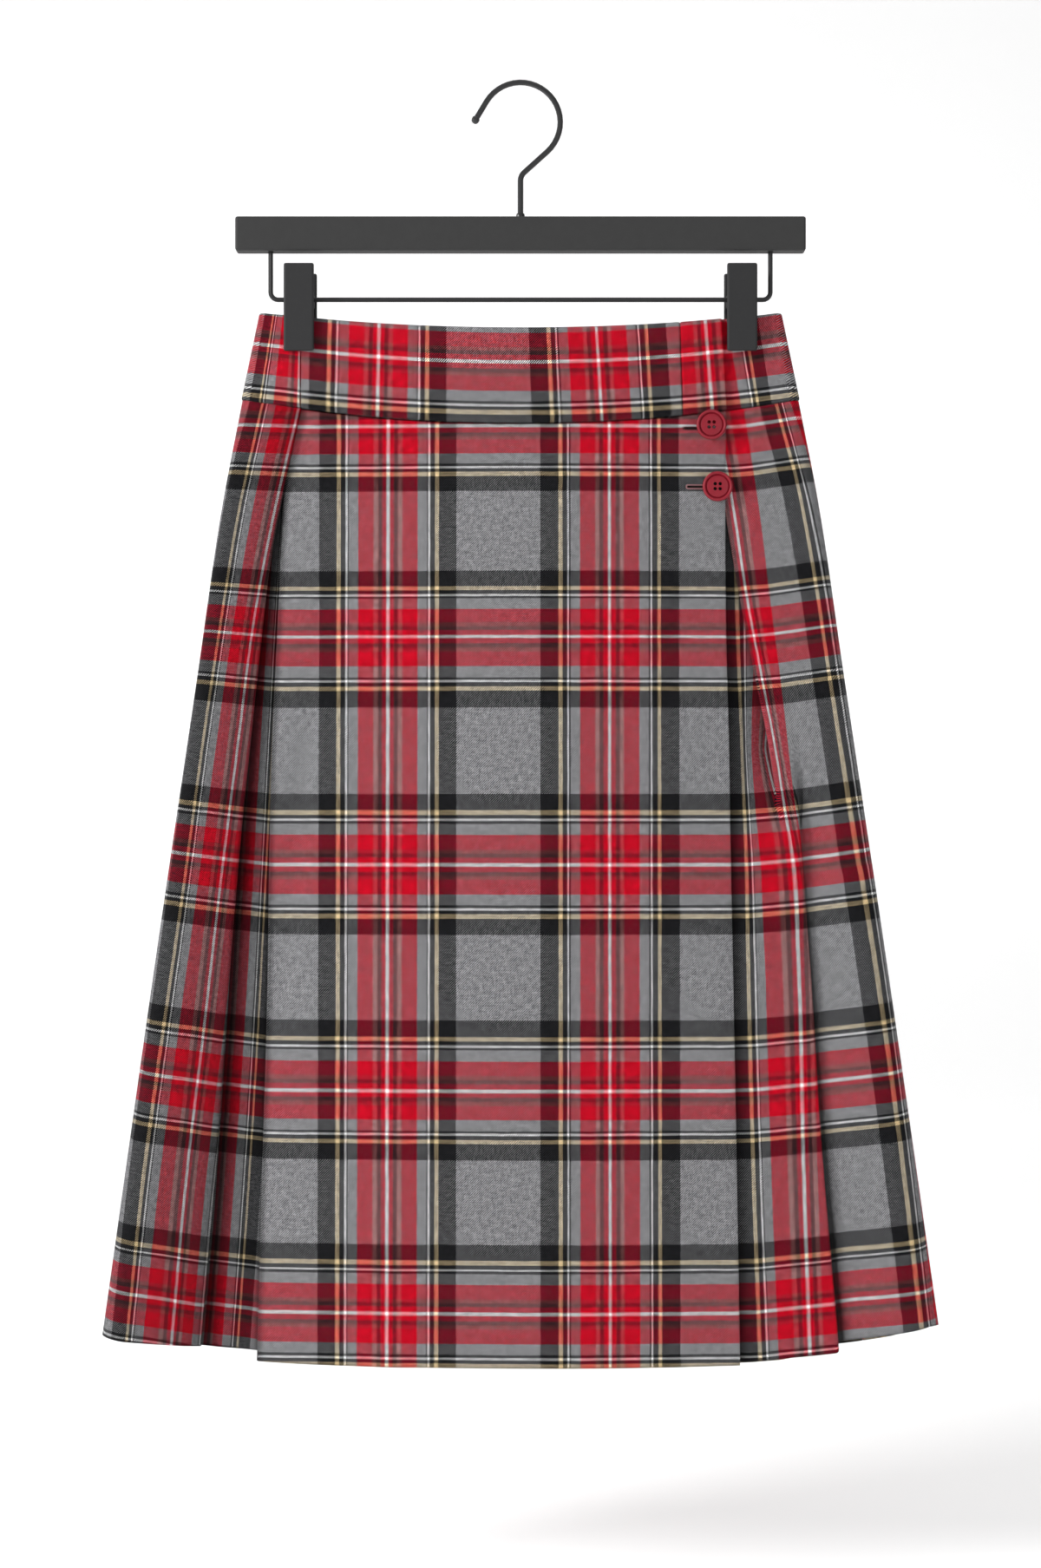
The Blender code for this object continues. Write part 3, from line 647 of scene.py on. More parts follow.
def pleat_rise(walk, ring, number):
    """From behind a fold edge, out past it to the surface as the next face."""
    clear = back_fold(ring, number) + CLEAR_OF_FOLD
    walk.paint_shade(1.0)
    walk.run(clear, 0.0, 5)
    walk.paint_shade(0.5)
    walk.run(clear + RISE_LENGTH, 2 * ring.pitch, 5, eased=True)
    walk.paint_shade(0.0)


def pleat_face(walk, ring, number):
    """A pleat's face, with the same line of the check in its middle on every pleat."""
    fold = back_fold(ring, number)
    face = ring.back_width / BACK_PITCHES
    walk.run(fold - face / 2, 2 * ring.pitch, 6)
    walk.pin(number * REPEAT)
    walk.run(fold, 2 * ring.pitch, 9)
    walk.pin(number * REPEAT + face / 2)


def back_walk(ring, first, last):
    """Pleats of the back from behind one fold edge to behind another."""
    walk = Walk(seam_behind(ring, first) + SEAM_GAP / 2, 0.0)
    for number in range(first, last):
        pleat_rise(walk, ring, number)
        pleat_face(walk, ring, number + 1)
        pleat_turn(walk, ring, number + 1)
    walk.run(seam_behind(ring, last) - SEAM_GAP / 2, 0.0, 3)
    return walk


# %% Right side panel with its double pleat
def bend_steps(ring, turn, depth):
    """A pleat that turns by any angle: a bend, the hidden stretch, and a bend back."""
    turn = math.radians(turn)
    chord = math.pi * ring.pitch / 2 / FOLD_STEPS
    steps = []
    for heading, sign in ((0.0, 1), (turn, -1)):
        for step in range(FOLD_STEPS):
            angle = heading + sign * turn * (step + 0.5) / FOLD_STEPS
            steps.append((chord * math.cos(angle), chord * math.sin(angle)))
        if sign == 1:
            part = depth / HIDDEN_STEPS
            steps += [(part * math.cos(turn), part * math.sin(turn))] * HIDDEN_STEPS
    return steps


def right_side_walk(ring):
    """Under the apron's free edge, the double pleat, the side, and the first pleat of the back."""
    height = ring.height
    edge_steps = bend_steps(ring, PLEAT.at("edge_turn", height), PLEAT.at("edge_depth", height))
    seam_steps = bend_steps(ring, PLEAT.at("seam_turn", height), PLEAT.at("seam_depth", height))
    edge_rise = sum(step[1] for step in edge_steps)
    seam_rise = sum(step[1] for step in seam_steps)
    inner = ring.pitch - (edge_rise + seam_rise) / 2
    edge = ring.front(PLEAT.at("edge", height))
    seam = ring.front(PLEAT.at("seam", height))
    start = ring.front(UNDER_SEAM)
    under_edge = edge - sum(step[0] for step in edge_steps)

    def level(distance):
        return inner * float(ease((distance - start) / (UNDER_PLEAT_RAMP * (under_edge - start))))

    open_share = float(ease((height - OPENING[0]) / OPENING[1]))
    walk = Walk(start, 0.0, RIGHT_RISE["centre"])
    walk.paint_shade(1.0)
    walk.run(ring.front(FRONT.at("apron_right", height)), level, 8)
    walk.paint_shade(BESIDE_APRON_SHADE)
    walk.run(ring.front(RIGHT.at("tan", height)), level, 4)
    walk.pin(-TAN_LINE)
    walk.paint_shade(TAN_LINE_SHADE * (1 - open_share))
    tan = walk.here()
    middle = ring.front(RIGHT.at("middle", height))
    squeeze = float(np.interp(height, *UNDER_EDGE_SQUEEZE))
    red_edge = tan + (TAN_LINE - RED_EDGE) / squeeze

    def thread(distance):
        shut = squeeze * (distance - tan) - TAN_LINE
        spread = float(np.interp(distance, (tan, red_edge, middle), (-TAN_LINE, -RED_EDGE, 0.0)))
        return shut + (spread - shut) * open_share

    walk.run(min(red_edge, under_edge - OPEN_STEP), level, 7, rise=RIGHT_RISE["centre"])
    walk.pin(thread(walk.here()))
    walk.run(under_edge, level, 7, rise=RIGHT_RISE["fold"])
    walk.pin(thread(under_edge))
    scale = EDGE_SQUEEZE + (RED_EDGE / (middle - red_edge) - EDGE_SQUEEZE) * open_share
    walk.paint_shade(1 - open_share)
    walk.shift(edge_steps, RIGHT_RISE["fold"])
    walk.pin(-scale * (middle - walk.here()))
    walk.paint_shade(0.0)
    top = walk.points[-1][1]
    walk.run(middle, top, 3)
    walk.pin(0.0)
    walk.run(seam, top, 10)
    walk.pin(RIGHT.at("seam_thread", height))
    white = ring.front(RIGHT.at("white", height), 2 * ring.pitch)
    side_thread = REPEAT - WHITE_LINE
    black = white - SIDE_BLACK_SPAN
    black_thread = REPEAT - BLACK_END
    across = black_thread - (black - seam)
    walk.run(seam + SEAM_GAP, top, 1)
    walk.pin(across + (RIGHT.at("seam_thread", height) - across) * open_share)
    walk.paint_shade(0.0)
    walk.shift(seam_steps, RIGHT_RISE["inner"] if height > INNER_FROM else RIGHT_RISE["fold"])
    walk.paint_shade(open_share)
    outer = walk.points[-1][1]
    last = walk.here()
    walk.pin(black_thread - (black - last))
    clear = seam + max(0.0, PLEAT.at("seam_depth", height)) * SEAM_DEPTH_SHARE + CLEAR_OF_FOLD
    clear = max(clear, last + OPEN_STEP)
    dark = seam + float(np.interp(height, *SEAM_DARK))
    walk.run(min(max(dark, last + DARK_STEP), clear - DARK_STEP), outer, 2)
    extra_seam_shade = SEAM_SHADE_GROWTH[1] * max(height - SEAM_SHADE_GROWTH[0], 0.0)
    walk.paint_shade((SEAM_FOLD_SHADE + extra_seam_shade) * open_share)
    walk.run(clear, outer, 2)
    walk.paint_shade(PAST_SEAM_SHADE * open_share)
    ramp = min(ring.side_start, white) - clear

    def outer_level(distance):
        return outer + (2 * ring.pitch - outer) * float(ease((distance - clear) / ramp))

    walk.run(clear + SEAM_SHADE_FADE, outer_level, 7)
    walk.paint_shade(0.0)
    walk.run(max(black, clear + SEAM_SHADE_FADE + OPEN_STEP), outer_level, 12)
    squeezed = (white - walk.here()) * (side_thread - black_thread) / SIDE_BLACK_SPAN
    walk.pin(side_thread - squeezed)
    walk.run(white, outer_level, 9)
    walk.pin(side_thread)
    side = max(ring.side_middle, white + OPEN_STEP)
    walk.run(side, 2 * ring.pitch, 8, rise=RIGHT_RISE["side"])
    walk.pin(side_thread + SILHOUETTE_SQUEEZE * (walk.here() - white))
    walk.run(ring.side_end, 2 * ring.pitch, 12, rise=0.0)
    walk.run(back_fold(ring, 0), 2 * ring.pitch, 16)
    pleat_turn(walk, ring, 0)
    walk.run(seam_behind(ring, 0) - SEAM_GAP / 2, 0.0, 3)
    return walk


# %% Left side panel
# Painted shade on the underlay: distances from the left fold and from the apron's edge, and the shade
# there.
UNDERLAY_FOLD_SHADE = ((0.0, 3.2, 5.6, 10.0), (1.05, 0.98, 0.68, 0.46))
UNDERLAY_APRON_EDGE_SHADE = ((-3.0, -0.6), (0.0, 0.9))
# Low down the painted shade reaches further, by this share. It grows from the first height, over the
# second.
FOLD_SHADE_REACH_GROWTH = 0.35
FOLD_SHADE_REACH_HEIGHTS = (0.36, 0.1)
# How far the underlay runs on past the apron's return, out of sight.
UNDERLAY_OVERLAP = 8.0
# How wide parts of the check look on the underlay, at the waist and at the hem. The middle of the red
# stripe lies further in than its edge by a fixed stretch.
UNDER_RED_HALF = 12.0
UNDER_RED_SPAN = (4.6, 7.0)
UNDER_TAN_SPAN = (2.0, 3.6)
UNDER_BLACK_SPAN = (5.0, 8.0)
LEFT_RISE_SPAN = LEFT_RISE["fold"] - LEFT_RISE["side"]


def left_side_walk(ring):
    """The last pleat's face, the left side to its fold over the apron, and the underlay below it."""
    pitch = ring.pitch
    height = ring.height
    side_end = ring.length - ring.side_start
    edge = ring.left(FRONT.at("left_fold", height)) - pitch / 2
    apron = ring.left(FRONT.at("apron_left", height)) - CLEAR_OF_FOLD
    inner = edge - between(LEFT_RETURN, height)
    middle = ring.left(LEFT.at("middle", height))
    white = ring.left(LEFT.at("white", height), 2 * pitch)
    silhouette = ring.length - ring.side_middle

    def level(distance):
        return pitch * (2 + 2 * float(ease((distance - side_end) / (apron - side_end))))

    def rise(distance):
        return LEFT_RISE["side"] + LEFT_RISE_SPAN * (distance - silhouette) / (edge - silhouette)

    walk = Walk(seam_behind(ring, BACK_FOLDS - 1) + SEAM_GAP / 2, 0.0)
    pleat_rise(walk, ring, BACK_FOLDS - 1)
    walk.run(ring.length / 2 + ring.side_start, 2 * pitch, 10)
    walk.run(silhouette, 2 * pitch, 12, rise=LEFT_RISE["side"])
    walk.pin(-WHITE_LINE - SILHOUETTE_SQUEEZE * (white - silhouette))
    walk.run(white, level, 14, rise=rise(white))
    walk.pin(-WHITE_LINE)
    walk.run(middle, level, 12, rise=rise(middle))
    walk.pin(0.0)
    walk.run(edge, level, 12, rise=LEFT_RISE["fold"])
    walk.pin(EDGE_SQUEEZE * (edge - middle))
    walk.fold(level(edge) - pitch)
    walk.run(inner, lambda distance: level(distance) - pitch, 14, rise=LEFT_RISE["inner"])
    walk.fold(0.0)
    under_white = ring.left(LEFT.at("under_white", height))
    apron_edge = ring.left(FRONT.at("apron_left", height))
    fold = ring.left(FRONT.at("left_fold", height))
    red_edge = under_white - between(UNDER_RED_SPAN, height)
    tan = under_white + between(UNDER_TAN_SPAN, height)
    black_end = tan + between(UNDER_BLACK_SPAN, height)
    lines = (red_edge - UNDER_RED_HALF, red_edge, under_white, tan, black_end, black_end + REPEAT)
    threads = (0.0, RED_EDGE, WHITE_LINE, TAN_LINE, BLACK_END, BLACK_END + REPEAT)
    reach_share = float(ease((height - FOLD_SHADE_REACH_HEIGHTS[0]) / FOLD_SHADE_REACH_HEIGHTS[1]))
    reach = 1 + FOLD_SHADE_REACH_GROWTH * reach_share

    # Painted shade at a distance: the greater of the shade beside the left fold and beside the apron's
    # edge.
    def depth(distance):
        beside_fold = np.interp((distance - fold) / reach, *UNDERLAY_FOLD_SHADE)
        return max(beside_fold, np.interp(distance - apron_edge, *UNDERLAY_APRON_EDGE_SHADE))

    stops = [fold + away * reach for away in UNDERLAY_FOLD_SHADE[0]]
    stops += [apron_edge + away for away in UNDERLAY_APRON_EDGE_SHADE[0]]
    stops = sorted(max(stop, edge) for stop in stops + list(lines[1:5]))
    stops = [edge - SEAM_GAP] + stops + [apron_edge + APRON_RETURN + UNDERLAY_OVERLAP]
    walk.paint_shade(1.0)
    walk.run(stops[0], 0.0, 10)
    for number, stop in enumerate(stops[1:]):
        walk.pin(REPEAT + float(np.interp(walk.here(), lines, threads)))
        walk.paint_shade(depth(walk.here()))
        last = number == len(stops) - 2
        stop = max(stop, walk.here() + STOP_STEP)
        walk.run(stop, 0.0, 10 if last else 2, rise=LEFT_RISE["centre"] if last else None)
    walk.paint_shade(1.0)
    return walk


# %% [markdown]
# ## The waistband
# The band is cut on its own curve and is thicker than the skirt, because it is folded over a stiffener.
# Its long front, the short tab at its right and the stretch that goes round the back are three pieces.

# %% Walks of the waistband
BAND_OVER = (4.2, 6.0)
BAND_UNDER = (0.9, 2.4)
BAND_ROUND = (1.6, 3.0)
BAND_LEFT_SEAM = -146.0
TAB_SEAM = (106.0, 107.6)
TAB_END = (134.0, 137.2)
# Within this distance of the left side the band rises to the level of its front piece. It meets it at
# a seam, where this thread of the check lies.
BAND_EASE = 16.0
BAND_SEAM_THREAD = 1.4
# Where lines of the check cross the band, at its top and its bottom edge.
BAND_LINES = ((-93.7, -94.5), (50.1, 53.6))
TAB_MIDDLE = (122.5, 127.0)
BAND_RIGHT_WHITE = (144.8, 154.3)
BAND_LEFT_WHITE = (-162.0, -170.4)
BAND_SQUEEZE = 1.45


def band_value(pair, height):
    """Goes from the pair's first value at the band's top to its second at the waist seam."""
    return pair[1] + (pair[0] - pair[1]) * -height


def band_front(ring, pair):
    """Distance round the ring of a line that crosses the front of the band."""
    return ring.front(band_value(pair, ring.height))


def band_front_walk(ring):
    level = band_value(BAND_OVER, ring.height)
    walk = Walk(ring.front(BAND_LEFT_SEAM) + SEAM_GAP, level)
    walk.run(band_front(ring, BAND_LINES[0]), level, 24)
    walk.pin(0.0)
    walk.run(band_front(ring, BAND_LINES[1]), level, 60)
    walk.pin(REPEAT)
    walk.run(band_front(ring, TAB_SEAM) - SEAM_GAP, level, 24)
    return walk


def band_tab_walk(ring):
    level = band_value(BAND_OVER, ring.height)
    walk = Walk(band_front(ring, TAB_SEAM), level)
    walk.pin(-RED_EDGE)
    walk.run(band_front(ring, TAB_MIDDLE), level, 8)
    walk.pin(0.0)
    walk.run(band_front(ring, TAB_END), level, 6)
    return walk


def band_round_walk(ring):
    """From the hidden under end, round by the right, the back and the left to the front's seam."""
    under = band_value(BAND_UNDER, ring.height)
    level = band_value(BAND_ROUND, ring.height)
    over = band_value(BAND_OVER, ring.height)
    tab_end = band_front(ring, TAB_END)
    left_end = ring.length - ring.side_start
    white = band_front(ring, BAND_RIGHT_WHITE)
    left_white = ring.left(band_value(BAND_LEFT_WHITE, ring.height))
    walk = Walk(ring.front(UNDER_END), under)
    walk.run(tab_end + SEAM_GAP, under, 50)

    def right_level(distance):
        return under + (level - under) * float(ease((distance - tab_end) / (ring.side_start - tab_end)))

    def left_level(distance):
        return level + (over - level) * float(ease((distance - left_end) / BAND_EASE))

    walk.run(white, right_level, 6)
    walk.pin(WHITE_LINE)
    walk.run(ring.side_start, right_level, 10)
    right_thread = WHITE_LINE + BAND_SQUEEZE * (ring.side_start - white)
    walk.pin(right_thread)
    walk.run(ring.side_end, level, 14)
    walk.run(ring.length / 2 + ring.side_start, level, 70)
    walk.run(left_end, level, 14)
    repeats = round((right_thread + left_end - ring.side_start + BLACK_END) / REPEAT)
    walk.pin(repeats * REPEAT - BLACK_END)
    walk.run(left_white, left_level, 6)
    walk.pin(repeats * REPEAT - WHITE_LINE)
    walk.run(ring.left(BAND_LEFT_SEAM), left_level, 12)
    walk.pin(repeats * REPEAT + BAND_SEAM_THREAD)
    return walk


# %% [markdown]
# ## Yarns and twill
# The cloth is a 2/2 twill: each weft thread goes over two warp threads and under two, one thread
# further along in each row, which draws the fine diagonal. A stripe is a run of threads of one colour,
# so the shader looks up each thread's colour at its middle, for warp and weft, and lets the twill
# choose which one lies on top. A table of stripe widths stands for the weaver's thread count.

# %% Yarn colours and the stripe table
YARNS = {
    "white": (0.86, 0.86, 0.85),
    "red": (0.47, 0.0022, 0.013),
    "grey": (0.205, 0.205, 0.212),
    "black": (0.009, 0.009, 0.010),
    "brown": (0.085, 0.012, 0.014),
    "tan": (0.60, 0.45, 0.24),
    "taupe": (0.34, 0.085, 0.080),
    "dusk": (0.25, 0.024, 0.026),
}
# Each stripe's end, in millimetres from the white line in the middle of the red. The weft is beaten
# a little looser than the warp is spaced, so its fine lines lie slightly further out.
WARP_STRIPES = (
    (0.95, "white"),
    (3.9, "red"),
    (6.6, "brown"),
    (9.5, "taupe"),
    (19.5, "red"),
    (25.9, "grey"),
    (26.7, "black"),
    (28.2, "white"),
    (31.4, "black"),
    (34.0, "tan"),
    (45.8, "black"),
    (74.2, "grey"),
)
WEFT_STRIPES = (
    (0.95, "white"),
    (4.5, "red"),
    (7.2, "brown"),
    (9.7, "dusk"),
    (19.2, "red"),
    (26.4, "grey"),
    (28.2, "black"),
    (29.8, "white"),
    (32.4, "black"),
    (35.3, "tan"),
    (45.8, "black"),
    (74.2, "grey"),
)
THREAD = 0.39 * MM


def join(tree, value, socket):
    """Feeds a socket from another socket, or sets it to a constant."""
    if isinstance(value, bpy.types.NodeSocket):
        tree.links.new(value, socket)
    else:
        socket.default_value = value


def calc(tree, operation, *values):
    node = tree.nodes.new("ShaderNodeMath")
    node.operation = operation
    for value, socket in zip(values, node.inputs):
        join(tree, value, socket)
    return node.outputs[0]


def mix_colour(tree, share, first, second, blend="MIX"):
    node = tree.nodes.new("ShaderNodeMix")
    node.data_type = "RGBA"
    node.blend_type = blend
    join(tree, share, node.inputs["Factor"])
    for value, name in ((first, "A"), (second, "B")):
        join(tree, value, [s for s in node.inputs if s.name == name and s.type == "RGBA"][0])
    return [s for s in node.outputs if s.type == "RGBA"][0]


def gamma(tree, colour, power):
    node = tree.nodes.new("ShaderNodeGamma")
    join(tree, colour, node.inputs["Color"])
    node.inputs["Gamma"].default_value = power
    return node.outputs["Color"]


def noise(tree, vector, scale, detail=2.0, roughness=0.5):
    node = tree.nodes.new("ShaderNodeTexNoise")
    join(tree, vector, node.inputs["Vector"])
    node.inputs["Scale"].default_value = scale
    node.inputs["Detail"].default_value = detail
    node.inputs["Roughness"].default_value = roughness
    return node.outputs["Fac"]


def object_place(tree):
    return tree.nodes.new("ShaderNodeTexCoord").outputs["Object"]


def split_xyz(tree, vector):
    node = tree.nodes.new("ShaderNodeSeparateXYZ")
    join(tree, vector, node.inputs[0])
    return node.outputs


def shaded(tree, colour, shade):
    """A colour multiplied by one number."""
    grey = tree.nodes.new("ShaderNodeCombineColor")
    for socket in grey.inputs:
        join(tree, shade, socket)
    return mix_colour(tree, 1.0, colour, grey.outputs[0], "MULTIPLY")


def add_bump(tree, shader, height, strength, distance):
    """Raises the surface by a height times a distance in millimetres."""
    bump = tree.nodes.new("ShaderNodeBump")
    bump.inputs["Strength"].default_value = strength
    bump.inputs["Distance"].default_value = distance * MM
    join(tree, height, bump.inputs["Height"])
    join(tree, bump.outputs["Normal"], shader.inputs["Normal"])


def new_group(name, inputs, outputs):
    tree = bpy.data.node_groups.new(name, "ShaderNodeTree")
    for label, kind in inputs:
        tree.interface.new_socket(label, in_out="INPUT", socket_type=kind)
    for label, kind in outputs:
        tree.interface.new_socket(label, in_out="OUTPUT", socket_type=kind)
    return tree, tree.nodes.new("NodeGroupInput").outputs, tree.nodes.new("NodeGroupOutput").inputs


# %% Stripe group
def stripe_colour(tree, thread_number, stripes):
    """The colour of a thread: its place in the mirrored repeat, looked up in the stripe table."""
    half = stripes[-1][0] * MM
    place = calc(tree, "MULTIPLY", calc(tree, "ADD", thread_number, 0.5), THREAD)
    mirrored = calc(tree, "PINGPONG", place, half)
    ramp = tree.nodes.new("ShaderNodeValToRGB")
    ramp.color_ramp.interpolation = "CONSTANT"
    join(tree, calc(tree, "DIVIDE", mirrored, half), ramp.inputs["Fac"])
    stops = ramp.color_ramp.elements
    while len(stops) > 1:
        stops.remove(stops[-1])
    stops[0].position = 0.0
    stops[0].color = (*YARNS[stripes[0][1]], 1.0)
    for (end, _), (_, yarn) in zip(stripes, stripes[1:]):
        stops.new(end / stripes[-1][0]).color = (*YARNS[yarn], 1.0)
    return ramp.outputs["Color"]


# %% Twill group
# How much of the difference between the top thread's colour and the even mixture shows.
TWILL_CONTRAST = 0.7
# Two yarns side by side shade each other, so their mixture is darker than their average.
YARN_DEPTH = 8.0
# How strongly the light and dark follow the threads' roundness, the loose fibres, the thick places of
# the yarn and broader blotches.
THREAD_SHADE = 0.9
FUZZ_SHADE = 1.4
SLUB_SHADE = 2.4
BLOTCH_SHADE = 1.3
# Shade lies where a warp float ends and a weft float starts, which draws the diagonal of the twill.
DIAGONAL_SHADE = 1.3
# The threads' mean height, which leaves the shade as it is, and the darkest shade.
MEAN_HEIGHT = 0.53
DARKEST_SHADE = 0.03
# Noises: scale, detail and roughness, and for the thick places their scales along and across a yarn.
FUZZ_NOISE = (1900.0, 3.0, 0.7)
BLOTCH_NOISE = (330.0, 2.0, 0.6)
SLUB_NOISE = (1.0, 2.0, 0.6)
SLUB_SCALES = (160.0, 900.0)
# How much the loose fibres add to the height of the threads.
FUZZ_HEIGHT = 0.6
# Threads wander a little to and fro.
WANDER = 0.5 * MM
WANDER_SCALE = 70.0
# A thread is round across, and dips at both ends of its float over two threads.
ROUND_ACROSS = 2.0
ROUND_ALONG = 4.0


def make_twill():
    """Weave in metres in; colour of the cloth and height of its threads out."""
    tree, given, out = new_group(
        "tartan_twill",
        [("Weave", "NodeSocketVector")],
        [("Color", "NodeSocketColor"), ("Height", "NodeSocketFloat")],
    )
    weave = given["Weave"]
    split = split_xyz(tree, weave)
    wander = calc(tree, "SUBTRACT", noise(tree, weave, WANDER_SCALE), 0.5)
    wander = calc(tree, "MULTIPLY", wander, WANDER)
    across = calc(tree, "DIVIDE", calc(tree, "ADD", split["X"], wander), THREAD)
    down = calc(tree, "DIVIDE", calc(tree, "ADD", split["Y"], wander), THREAD)
    warp_number = calc(tree, "FLOOR", across)
    weft_number = calc(tree, "FLOOR", down)
    warp = stripe_colour(tree, warp_number, WARP_STRIPES)
    weft = stripe_colour(tree, weft_number, WEFT_STRIPES)
    step = calc(tree, "FLOORED_MODULO", calc(tree, "ADD", warp_number, weft_number), 4.0)
    warp_on_top = calc(tree, "LESS_THAN", step, 1.5)
    weft_on_top = calc(tree, "SUBTRACT", 1.0, warp_on_top)
    dull = 1 / YARN_DEPTH
    middle = mix_colour(tree, 0.5, gamma(tree, warp, dull), gamma(tree, weft, dull))
    middle = gamma(tree, middle, YARN_DEPTH)
    top = mix_colour(tree, warp_on_top, weft, warp)
    even = mix_colour(tree, 0.5, warp, weft)
    relief = mix_colour(tree, 1.0, top, even, "SUBTRACT")
    relief = mix_colour(tree, 1.0, relief, (TWILL_CONTRAST,) * 3 + (1.0,), "MULTIPLY")
    colour = mix_colour(tree, 1.0, middle, relief, "ADD")

    def arched(share, power):
        """A height of 1 in the middle of a share from 0 to 1, and 0 at its ends."""
        offset = calc(tree, "ABSOLUTE", calc(tree, "MULTIPLY_ADD", share, 2.0, -1.0))
        return calc(tree, "SUBTRACT", 1.0, calc(tree, "POWER", offset, power))

    def float_height(across_share, along_share, first_step):
        """The height of a thread, from where a point lies across it and along its float."""
        gone = calc(tree, "SUBTRACT", calc(tree, "ADD", step, along_share), first_step)
        rounded = arched(calc(tree, "MULTIPLY", gone, 0.5), ROUND_ALONG)
        return calc(tree, "MULTIPLY", arched(across_share, ROUND_ACROSS), rounded)

    across_share = calc(tree, "FRACT", across)
    down_share = calc(tree, "FRACT", down)
    warp_height = float_height(across_share, down_share, 0.0)
    weft_height = float_height(down_share, across_share, 2.0)

    def streaks(scale_x, scale_y):
        """Thick and thin places of the yarns that run one way."""
        stretched = tree.nodes.new("ShaderNodeVectorMath")
        stretched.operation = "MULTIPLY"
        join(tree, weave, stretched.inputs[0])
        stretched.inputs[1].default_value = (scale_x, scale_y, 0.0)
        return noise(tree, stretched.outputs[0], *SLUB_NOISE)

    def on_top(warp_value, weft_value):
        """The warp's value where the warp lies on top, and the weft's elsewhere."""
        shown = calc(tree, "MULTIPLY", warp_value, warp_on_top)
        return calc(tree, "MULTIPLY_ADD", weft_value, weft_on_top, shown)

    thread_height = on_top(warp_height, weft_height)
    slub = on_top(streaks(*SLUB_SCALES[::-1]), streaks(*SLUB_SCALES))
    fuzz = noise(tree, weave, *FUZZ_NOISE)
    blotch = noise(tree, weave, *BLOTCH_NOISE)
    past_middle = calc(tree, "ABSOLUTE", calc(tree, "SUBTRACT", step, 1.5))
    lit = calc(tree, "GREATER_THAN", past_middle, 1.0)
    lowest = 1.0 - MEAN_HEIGHT * THREAD_SHADE
    shade = calc(tree, "MULTIPLY_ADD", thread_height, THREAD_SHADE, lowest)
    for unevenness, strength in (
        (fuzz, FUZZ_SHADE),
        (slub, SLUB_SHADE),
        (blotch, BLOTCH_SHADE),
        (lit, DIAGONAL_SHADE),
    ):
        centred = calc(tree, "SUBTRACT", unevenness, 0.5)
        shade = calc(tree, "MULTIPLY_ADD", centred, strength, shade)
    shade = calc(tree, "MAXIMUM", shade, DARKEST_SHADE)
    join(tree, shaded(tree, colour, shade), out["Color"])
    join(tree, calc(tree, "MULTIPLY_ADD", fuzz, FUZZ_HEIGHT, thread_height), out["Height"])
    return tree


TWILL = make_twill()
print("stripes in half a repeat:", len(WARP_STRIPES), "over", WARP_STRIPES[-1][0], "mm")


# %% Cloth material
CLOTH_ROUGHNESS = 0.92
CLOTH_SPECULAR = 0.08
CLOTH_SHEEN = 0.02
SHEEN_ROUGHNESS = 0.5
# How much the painted shade mark darkens the cloth at its full value of 1.
PAINTED_SHADE_STRENGTH = 0.85
# The bump: its strength and distance, the twill's share of its height, and the puckers.
CLOTH_BUMP = (0.55, 0.6)
TWILL_HEIGHT = 0.12
PUCKER_SCALE = 55.0
PUCKER_HEIGHT = 2.2


def cloth_material(name):
    """Twill on the piece's own weave map, with painted shade along turned edges and deep in folds."""
    made, tree, shader = new_material(name)
    weave = tree.nodes.new("ShaderNodeUVMap")
    weave.uv_map = "weave"
    twill = tree.nodes.new("ShaderNodeGroup")
    twill.node_tree = TWILL
    join(tree, weave.outputs["UV"], twill.inputs["Weave"])
    # Painted shade: the mark on the mesh darkens the twill's colour.
    edge = tree.nodes.new("ShaderNodeAttribute")
    edge.attribute_name = "painted_shade"
    shade = calc(tree, "SUBTRACT", 1.0, calc(tree, "MULTIPLY", edge.outputs["Fac"], PAINTED_SHADE_STRENGTH))
    join(tree, shaded(tree, twill.outputs["Color"], shade), shader.inputs["Base Color"])
    shader.inputs["Roughness"].default_value = CLOTH_ROUGHNESS
    shader.inputs["Sheen Weight"].default_value = CLOTH_SHEEN
    shader.inputs["Sheen Roughness"].default_value = SHEEN_ROUGHNESS
    shader.inputs["Specular IOR Level"].default_value = CLOTH_SPECULAR
    pucker = calc(tree, "MULTIPLY", noise(tree, object_place(tree), PUCKER_SCALE), PUCKER_HEIGHT)
    height = calc(tree, "MULTIPLY_ADD", twill.outputs["Height"], TWILL_HEIGHT, pucker)
    add_bump(tree, shader, height, *CLOTH_BUMP)
    return made


TARTAN = cloth_material("tartan_cloth")

# %% [markdown]
# ## From walks to cloth
# One walk is taken at each of many heights, and the walks are the rows of a grid. The grid gets the
# weave map, a mark of painted shade along its turned edges and in its folds, a wall with Solidify,
# and a small Bevel on the wall's rims.

# %% Cloth builder
CLOTH = 1.1
BAND_CLOTH = 3.0
RIM_ROUNDING = 0.35
BAND_RIM_ROUNDING = 1.2
RIM_ANGLE = 55
# Painted shade along the turned hem: its mark on the last row.
HEM_SHADE = 0.65
# The band's weft: its thread at the waist seam, and how far it shifts towards the sides.
BAND_WHITE = 40.6
BAND_SIDE_SHIFT = 3.2


def side_share(x, ring):
    """How far out a point lies, from -1 at the left silhouette to 1 at the right."""
    return np.clip(x / (ring.half_width + SIDE_STACK), -1, 1)


def skirt_z(x, rise, ring):
    """World height of skirt points at this ring."""
    share = side_share(x, ring)
    top = edge_z(WAIST_SEAM, share) - SEAM_GAP
    return top + (edge_z(HEM, share) + rise - top) * ring.height


def band_z(x, ring):
    share = side_share(x, ring)
    seam = edge_z(WAIST_SEAM, share)
    return seam + (edge_z(BAND_TOP, share) - seam) * -ring.height


